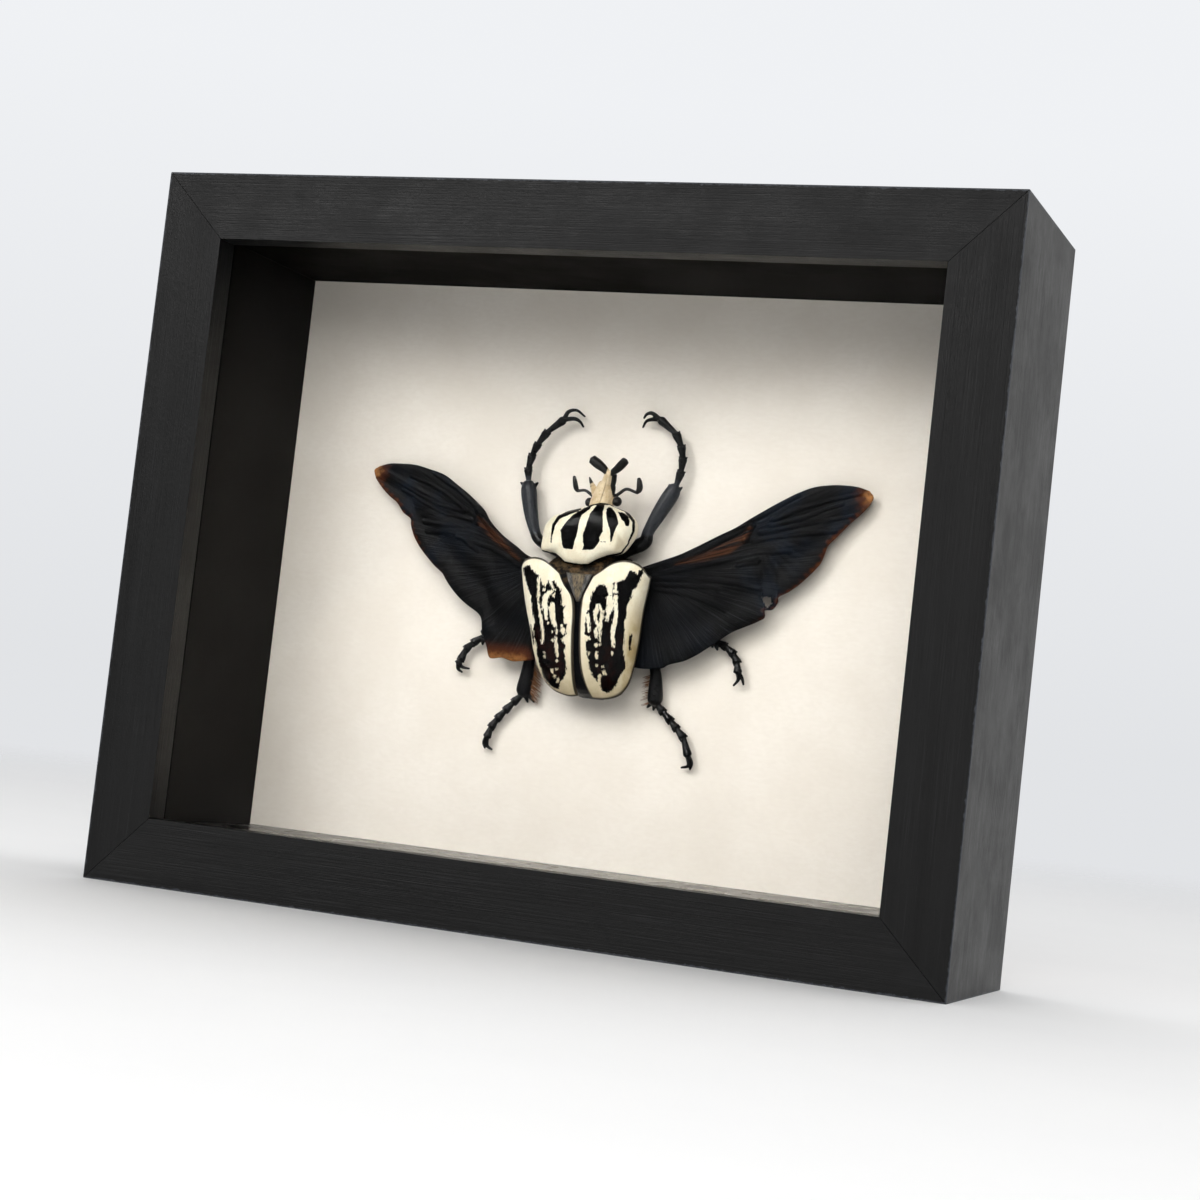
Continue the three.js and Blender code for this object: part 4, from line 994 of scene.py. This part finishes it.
def wing_relief(wing, plan, s, t):
    """Height of the membrane above its mean level: folds and veins."""
    flat = plan.reshape(-1, 2)
    calm = np.sin(math.pi * np.clip(t, 0, 1)) ** 0.5 * np.clip(s * 5, 0, 1)[:, None]
    outer = smooth_step(np.abs(plan[..., 0] - wing["hinge"][0]), 22, 34)
    inner_folds = pleats(plan, wing["hinge"], PLEATS, 1.1) * (1 - outer)
    outer_folds = pleats(plan, wing["fold"], FOLD_PLEATS, 0.8) * outer
    height = 0.05 * calm * (inner_folds + outer_folds)
    height += 0.35 * np.sin(t * 5 * math.pi)[None] * np.sin(s * math.pi)[:, None]
    for vein in wing["veins"]:
        depth = stroke_depth(flat, vein).reshape(height.shape)
        height += 0.45 * smooth_step(depth, -0.5, 0.25)
    return height


def add_wing(name, wing, material):
    s, t = edge_shares(WING_ROWS, 0.2), edge_shares(WING_COLUMNS, 0.3)
    plan = patch(wing["leading"], wing["trailing"], wing["root"], wing["tip"], s, t)
    flat = plan.reshape(-1, 2)
    height = WING_HEIGHT + wing_relief(wing, plan, s, t)
    hole = WING_HOLES[name]
    curl = np.zeros(len(flat))
    if hole:
        curl = np.clip(stroke_depth(flat, WING_CURL), 0, None)
        height += 0.35 * curl.reshape(height.shape)
    grid = np.concatenate([plan, height[..., None]], axis=2)
    places, faces, from_edge = sheet(grid, WING_THICK, hole)
    spot = places[:, :2].copy()
    to_trailing = path_distance(spot, spline(wing["trailing"], steps=4))[0]
    to_tip = np.linalg.norm(spot - np.array(wing["amber_tip"]), axis=1)
    ragged = 0.7 * np.sin(spot[:, 0] * 1.7) * np.sin(spot[:, 1] * 2.3)
    far_out = smooth_step(np.abs(spot[:, 0]), 40, 66)
    amber = 0.62 * smooth_step(-to_trailing - ragged, -1.5, 0) * (0.14 + 0.86 * far_out)
    amber = np.maximum(amber, smooth_step(-to_tip + ragged, -7.5, 0.5))
    if not hole:
        lobe = smooth_step(-spot[:, 1], -WING_LOBE_Z[1], -WING_LOBE_Z[0]) * smooth_step(-spot[:, 0], 14, 20)
        amber = np.maximum(amber, 0.85 * lobe)
    copper = 0.8 * np.clip(stroke_depth(spot, wing["copper"]) / 0.8, 0, 1)
    offset = spot - np.array(wing["hinge"])
    fan = np.arctan2(offset[:, 1], np.abs(offset[:, 0])) * FAN_RADIUS * MM
    reach = np.linalg.norm(offset, axis=1) * MM
    droop = np.interp(np.abs(spot[:, 0]), WING_DROOP_X, WING_DROOP)
    to_eye = (np.array([EYE_X, EYE_Z]) - spot) / (EYE_HEIGHT - WING_HEIGHT)
    places -= np.column_stack([to_eye * droop[:, None], droop])
    add_piece(name + "_membrane", mesh_of(name, places, faces), material, "wing_membrane", name,
              amber=amber, copper=copper, fan=fan, reach=reach)


# Legs

# Shins are (x, z, height, half width) stations; feet, spurs and claws are (x, z) places
LEGS = {
    "foreleg_left": {
        "shin": [
            (-8, 106.5, 5.5, 1.8), (-15, 109, 5.5, 2), (-20.6, 111.2, 5.2, 1.5), (-22.2, 113.6, 5, 1.5),
            (-24.4, 119.5, 4.6, 2), (-26.1, 126.3, 4.2, 2.1), (-26.5, 128, 4.2, 1.4)],
        "foot": [
            (-26.4, 128.2), (-27, 132), (-26.2, 136), (-24.8, 139.3), (-22.3, 143), (-17, 147.3)],
        "spurs": [[(-26.9, 126.4), (-29, 127.7)], [(-24.6, 126.6), (-23.4, 128)]],
        "claws": [
            [(-17.4, 147), (-16.4, 149.4), (-14, 150), (-11.2, 148.3)],
            [(-17.4, 147), (-14, 147.4), (-12.4, 146.6), (-11.3, 145.2)]],
        "height": 4,
    },
    "foreleg_right": {
        "shin": [
            (2, 106.5, 5.5, 1.8), (7, 110, 5.5, 2), (12.4, 112.9, 5.2, 1.9), (13, 115.8, 5, 1.6),
            (15.8, 122, 4.6, 2.1), (18.8, 128, 4.2, 2.1), (19.5, 129.8, 4.2, 1.4)],
        "foot": [
            (19.6, 130), (20.6, 134), (20.7, 138), (19.8, 141.3), (17.8, 144.8), (12, 149)],
        "spurs": [[(19.8, 127.8), (21.4, 129.6)], [(17.6, 128.4), (17.4, 130.2)]],
        "claws": [
            [(12.4, 148.7), (9.5, 150.4), (7.9, 150), (7.1, 148.8)],
            [(12.4, 148.7), (10, 148.6), (8.1, 148), (7.1, 146.1)]],
        "height": 4,
    },
    "middle_leg_left": {
        "shin": [
            (-7, 95, 4.4, 2), (-15, 94, 4.6, 2.2), (-25, 91.5, 5, 1.6), (-30, 87, 4.2, 1.6),
            (-35, 82, 3.2, 1.8)],
        "foot": [(-35.4, 81.6), (-38.7, 79.3), (-40.7, 77.3), (-42, 74), (-42.7, 72.7)],
        "spurs": [[(-35.4, 80.8), (-35.6, 79)], [(-34.2, 80.8), (-33.8, 79.4)]],
        "claws": [
            [(-42.6, 73), (-41.3, 72), (-39, 71.7)], [(-42.6, 73), (-42.6, 71.4), (-41.2, 70.4)]],
        "height": 3,
    },
    "middle_leg_right": {
        "shin": [
            (7, 95, 4.4, 2), (15, 94.5, 4.6, 2.2), (25, 93, 5, 1.6), (31, 90, 4.2, 1.6),
            (36.4, 86.8, 3.2, 1.8)],
        "foot": [(36.8, 86.4), (39.3, 85.3), (42, 83.3), (43.3, 81), (43.8, 78)],
        "spurs": [[(36.4, 85.8), (37, 84)], [(35.2, 86.4), (35.4, 84.6)]],
        "claws": [
            [(43.8, 78.4), (44, 76.3), (42.7, 74.5)], [(43.8, 78.4), (45, 77), (45.7, 75)]],
        "height": 3,
    },
    "hind_leg_left": {
        "shin": [
            (-6, 84, 4.4, 2.2), (-13, 81.5, 4.6, 2.3), (-18.6, 79.4, 4.2, 1.6), (-19.6, 77, 3.8, 1.5),
            (-20.2, 71.5, 3.2, 1.9), (-20.9, 66.6, 3, 2), (-21.1, 65.4, 3, 1.2)],
        "foot": [
            (-21.4, 65.6), (-23.7, 63.3), (-26, 60.7), (-28.3, 58), (-30, 55.3), (-31, 52)],
        "spurs": [[(-20.3, 66), (-19.3, 63.6)], [(-19.4, 66.4), (-17.3, 63.8)]],
        "claws": [
            [(-31, 52.4), (-31.8, 50.6), (-31.3, 49)], [(-31, 52.4), (-30.6, 49.8), (-29, 48.8)]],
        "height": 2.6,
    },
    "hind_leg_right": {
        "shin": [
            (6, 84, 4.4, 2.2), (12, 81.5, 4.6, 2.3), (18.2, 79.4, 4.2, 1.6), (19.4, 76.6, 3.8, 1.5),
            (19.8, 72, 3.2, 1.9), (20, 68, 3, 2), (20.1, 66.8, 3, 1.2)],
        "foot": [
            (20.4, 67.2), (22.7, 65), (25.3, 62.7), (27.3, 60.7), (29.7, 58.3), (31.7, 53)],
        "spurs": [[(19.2, 67.6), (17.6, 65.8)], [(20, 67.2), (19.6, 65.2)]],
        "claws": [
            [(31.6, 53.4), (31.9, 50.7), (29.7, 49.9)], [(31.6, 53.4), (32.8, 51.4), (32.4, 49.6)]],
        "height": 2.6,
    },
}
# Share of a foot joint's length, half width there
FOOT_JOINT = [(0.04, 0.72), (0.3, 0.86), (0.62, 1.05), (0.86, 1.22), (0.97, 0.8)]
LEG_FLATTEN = 0.85
LEG_VOXEL, LEG_PASSES = 0.15, 1
LEG_FULLER = 1.08
FORE_SLATE, HIND_SLATE = 1.0, 0.05


def foot_stations(foot, height):
    """Foot joints are narrow where they start and flare where they end."""
    stations = []
    for (x0, z0), (x1, z1) in zip(foot, foot[1:]):
        for share, half in FOOT_JOINT:
            stations.append((x0 + (x1 - x0) * share, z0 + (z1 - z0) * share, height, half))
    return stations


def joint_spines(foot, height):
    """A short spine at each side of the end of every foot joint but the last."""
    spines = []
    for (x0, z0), (x1, z1) in zip(foot[:-2], foot[1:-1]):
        run = np.array([x1 - x0, z1 - z0]) / math.hypot(x1 - x0, z1 - z0)
        for side in (-1, 1):
            away = np.array([-run[1], run[0]]) * side
            root = np.array([x1, z1]) - run * 0.9 + away * 0.4
            tip = np.array([x1, z1]) + run * 0.35 + away * 1.25
            middle = (root + tip) / 2
            spines.append([(*root, height, 0.6), (*middle, height, 0.45), (*tip, height - 0.1, 0.2)])
    return spines


def add_leg(name, leg, material):
    height = leg["height"]
    full = np.array([1, 1, 1, LEG_FULLER])
    parts = [tube(leg["shin"] * full, flatten=LEG_FLATTEN),
             tube(foot_stations(leg["foot"], height) * full, flatten=LEG_FLATTEN, steps=3)]
    for claw in leg["claws"]:
        halves = np.linspace(0.75, 0.3, len(claw))
        parts.append(tube([(x, z, height - 0.25 * k, halves[k]) for k, (x, z) in enumerate(claw)]))
    for (x0, z0), (x1, z1) in leg["spurs"]:
        parts.append(tube([(x0, z0, height + 0.2, 0.8), ((x0 + x1) / 2, (z0 + z1) / 2, height, 0.6),
                           (x1, z1, height - 0.2, 0.25)]))
    parts += [tube(spine, sides=8) for spine in joint_spines(leg["foot"], height)]
    mesh = fused(name, parts, LEG_VOXEL, LEG_PASSES)
    slate = FORE_SLATE if name.startswith("foreleg") else HIND_SLATE
    shin = slate * smooth_step(limb_depth(card_places(mesh), leg["shin"][3:]), -0.7, 0)
    add_piece(name + "_limb", mesh, material, "leg_chitin", name, shin=shin)


# Hair along the hind shins

# Rows of hair: roots along a line, reach across and up, spread of the tips
FRINGES = {
    "fringe_left": {
        "count": 90,
        "root": [(-18.8, 75), (-19, 65.5)],
        "reach": (3, -2.2),
        "spread": 0.9,
    },
    "fringe_right": {
        "count": 46,
        "root": [(18.2, 75.5), (18.6, 67)],
        "reach": (-2.6, -1),
        "spread": 0.3,
    },
}
FRINGE_HEIGHT, FRINGE_FALL = 3, -0.3
HAIR_HALF_MM, HAIR_CLEAR_MM = 0.1, 0.2


def add_fringe(name, fringe, material):
    count = fringe["count"]
    share = RANDOM.random(count)[:, None]
    start, end = (np.array(place) for place in fringe["root"])
    height = FRINGE_HEIGHT + RANDOM.normal(0, 0.4, count)
    roots = np.column_stack([start + (end - start) * share, height])
    reach = np.array(fringe["reach"]) * RANDOM.uniform(0.6, 1.1, (count, 1))
    drift = RANDOM.normal(0, fringe["spread"], (count, 3)) * 0.45
    tips = roots + np.column_stack([reach, np.full(count, FRINGE_FALL)]) + drift
    sag = RANDOM.normal(0, 0.12, (count, 3))
    places, faces = strands(roots, tips, sag, HAIR_HALF_MM)
    places[:, 2] = np.maximum(places[:, 2], HAIR_CLEAR_MM)
    add_piece(name, mesh_of(name, places, faces), material, "leg_chitin")


# Frame

def dress(node, material, bevel_mm=0.25):
    """A kept CAD piece gets its material and slightly rounded edges."""
    piece = bpy.data.objects[node]
    for slot in piece.material_slots:
        slot.material = material
    rounding = piece.modifiers.new("rounding", "BEVEL")
    rounding.width = bevel_mm * MM
    rounding.segments = 2
    rounding.limit_method = "ANGLE"
    rounding.angle_limit = math.radians(40)
    rounding.use_clamp_overlap = False


def dress_frame():
    across, upright = black_wood("black_wood_across", "x"), black_wood("black_wood_upright", "z")
    for side, wood in (("top", across), ("bottom", across), ("left", upright), ("right", upright)):
        dress("rail_" + side, wood)
    liner = black_liner("black_liner", 0.4, 0.06)
    for side in ("left", "right"):
        dress("liner_" + side, liner)
    dress("liner_top", black_liner("black_soffit", 0.5, 0.01))
    dress("liner_bottom", black_liner("black_ledge", 0.22, 0.6))
    dress("glass", clear_glass(), 0.1)
    dress("backing_card", cream_paper(), 0.1)
    dress("back_panel", hardboard(), 0.2)
    steel = zinc()
    for node in [f"tab_{k}" for k in range(1, 7)] + ["hanger", "hanger_nail_left", "hanger_nail_right"]:
        dress(node, steel, 0.06)


# Stage, light and eye

FLOOR_RADIUS = 2.4
BACKDROP = (0.885, 0.9, 0.925)


def add_floor():
    """A pale floor that fades out before it could show an edge."""
    rings, sides = FLOOR_RADIUS * np.linspace(0.02, 1, 40), 96
    angle = 2 * math.pi * np.arange(sides) / sides
    points = [(r * math.cos(a), r * math.sin(a), 0) for r in rings for a in angle]
    faces = [face[::-1] for face in ring_faces(len(rings), sides)] + [tuple(range(sides))]
    mesh = bpy.data.meshes.new("floor")
    mesh.from_pydata(points, [], faces)
    look = Look("floor")
    grain = look.noise((0.02, 0.02, 0.02))
    look.finish(Base_Color=look.mix(grain, (0.9, 0.905, 0.915), (0.93, 0.935, 0.94)), Roughness=0.8,
                Specular_IOR_Level=0.2)
    radius = look.nodes.new("ShaderNodeVectorMath")
    radius.operation = "LENGTH"
    look.links.new(look.place, radius.inputs[0])
    look.put(look.shader.inputs["Alpha"], look.range(radius.outputs["Value"], 0.35, 1.5, 1, 0))
    mesh.materials.append(look.material)
    floor = bpy.data.objects.new("floor", mesh)
    bpy.context.scene.collection.objects.link(floor)


def add_world():
    """A white backdrop for the eye; light from behind and above for all else, little from the front."""
    world = bpy.data.worlds.new("studio")
    world.use_nodes = True
    nodes, links = world.node_tree.nodes, world.node_tree.links
    background = nodes["Background"]
    background.inputs["Color"].default_value = (1, 1, 1, 1)
    place = nodes.new("ShaderNodeTexCoord").outputs["Generated"]
    split = nodes.new("ShaderNodeSeparateXYZ")
    links.new(place, split.inputs[0])
    behind = nodes.new("ShaderNodeMapRange")
    links.new(split.outputs["Y"], behind.inputs["Value"])
    for key, number in (("From Min", -0.3), ("From Max", 0.5), ("To Min", 0.16), ("To Max", 0.85)):
        behind.inputs[key].default_value = number
    links.new(behind.outputs["Result"], background.inputs["Strength"])
    backdrop = nodes.new("ShaderNodeBackground")
    backdrop.inputs["Color"].default_value = (*BACKDROP, 1)
    rise = nodes.new("ShaderNodeMapRange")
    links.new(split.outputs["Z"], rise.inputs["Value"])
    for key, number in (("From Min", 0.02), ("From Max", 0.26), ("To Min", 0.86), ("To Max", 0.98)):
        rise.inputs[key].default_value = number
    links.new(rise.outputs["Result"], backdrop.inputs["Strength"])
    path = nodes.new("ShaderNodeLightPath")
    blend = nodes.new("ShaderNodeMixShader")
    links.new(path.outputs["Is Camera Ray"], blend.inputs[0])
    links.new(background.outputs[0], blend.inputs[1])
    links.new(backdrop.outputs[0], blend.inputs[2])
    links.new(blend.outputs[0], nodes["World Output"].inputs["Surface"])
    bpy.context.scene.world = world


def add_lamp(name, place, target, size, watts, colour=(1, 1, 1), glossy=True, diffuse=True):
    lamp = bpy.data.lights.new(name, "AREA")
    lamp.shape = "RECTANGLE"
    lamp.size, lamp.size_y = size
    lamp.energy = watts
    lamp.color = colour
    holder = bpy.data.objects.new(name, lamp)
    holder.location = place
    holder.rotation_euler = (Vector(target) - Vector(place)).to_track_quat("-Z", "Y").to_euler()
    holder.visible_glossy, holder.visible_diffuse = glossy, diffuse
    holder.visible_camera = False
    bpy.context.scene.collection.objects.link(holder)


def add_lights():
    middle = (0, 0.02, 0.1)
    add_lamp("key", (0.02, -0.85, 0.67), middle, (0.8, 0.75), 3.7, (1, 0.985, 0.96), glossy=False)
    add_lamp("fill", (0.5, -1.3, 0.7), middle, (1.0, 0.8), 4.6, (1, 0.985, 0.96), glossy=False)
    add_lamp("glint", (-0.6, -1.25, 0.78), middle, (0.6, 0.45), 11, (1, 0.99, 0.98), diffuse=False)
    add_lamp("top", (0.1, 0.3, 1.6), (0, 0, 0), (1.6, 1.6), 10)


def add_eye():
    camera = bpy.data.cameras.new("eye")
    camera.sensor_width = SENSOR_MM
    camera.lens = EYE_LENS_MM
    camera.clip_start = 0.01
    eye = bpy.data.objects.new("eye", camera)
    turn = Matrix((EYE_RIGHT, EYE_UP, EYE_RIGHT.cross(EYE_UP))).transposed().to_4x4()
    place = Vector((EYE_X * MM, PAPER_Y - EYE_HEIGHT * MM, EYE_Z * MM))
    eye.matrix_world = Matrix.Translation(place) @ turn
    bpy.context.scene.collection.objects.link(eye)
    bpy.context.scene.camera = eye


def add_beetle():
    shell = striped_chitin("striped_chitin", (2.6, 2.6, 0.75), 2.4)
    for name, edges in ELYTRA.items():
        add_elytron(name, edges, shell)
    add_pronotum(striped_chitin("striped_shield", (1.2, 1.2, 1.2), 0.7))
    add_head(head_chitin())
    add_body(dark_chitin())
    add_scutellum(plate_chitin())
    membrane = wing_membrane()
    for name, wing in WINGS.items():
        add_wing(name, wing, membrane)
    limb = leg_chitin()
    for name, leg in LEGS.items():
        add_leg(name, leg, limb)
    hair = fringe_hair()
    for name, fringe in FRINGES.items():
        add_fringe(name, fringe, hair)


dress_frame()
add_beetle()
add_floor()
add_world()
add_lights()
add_eye()
bpy.context.scene.view_settings.view_transform = "Standard"
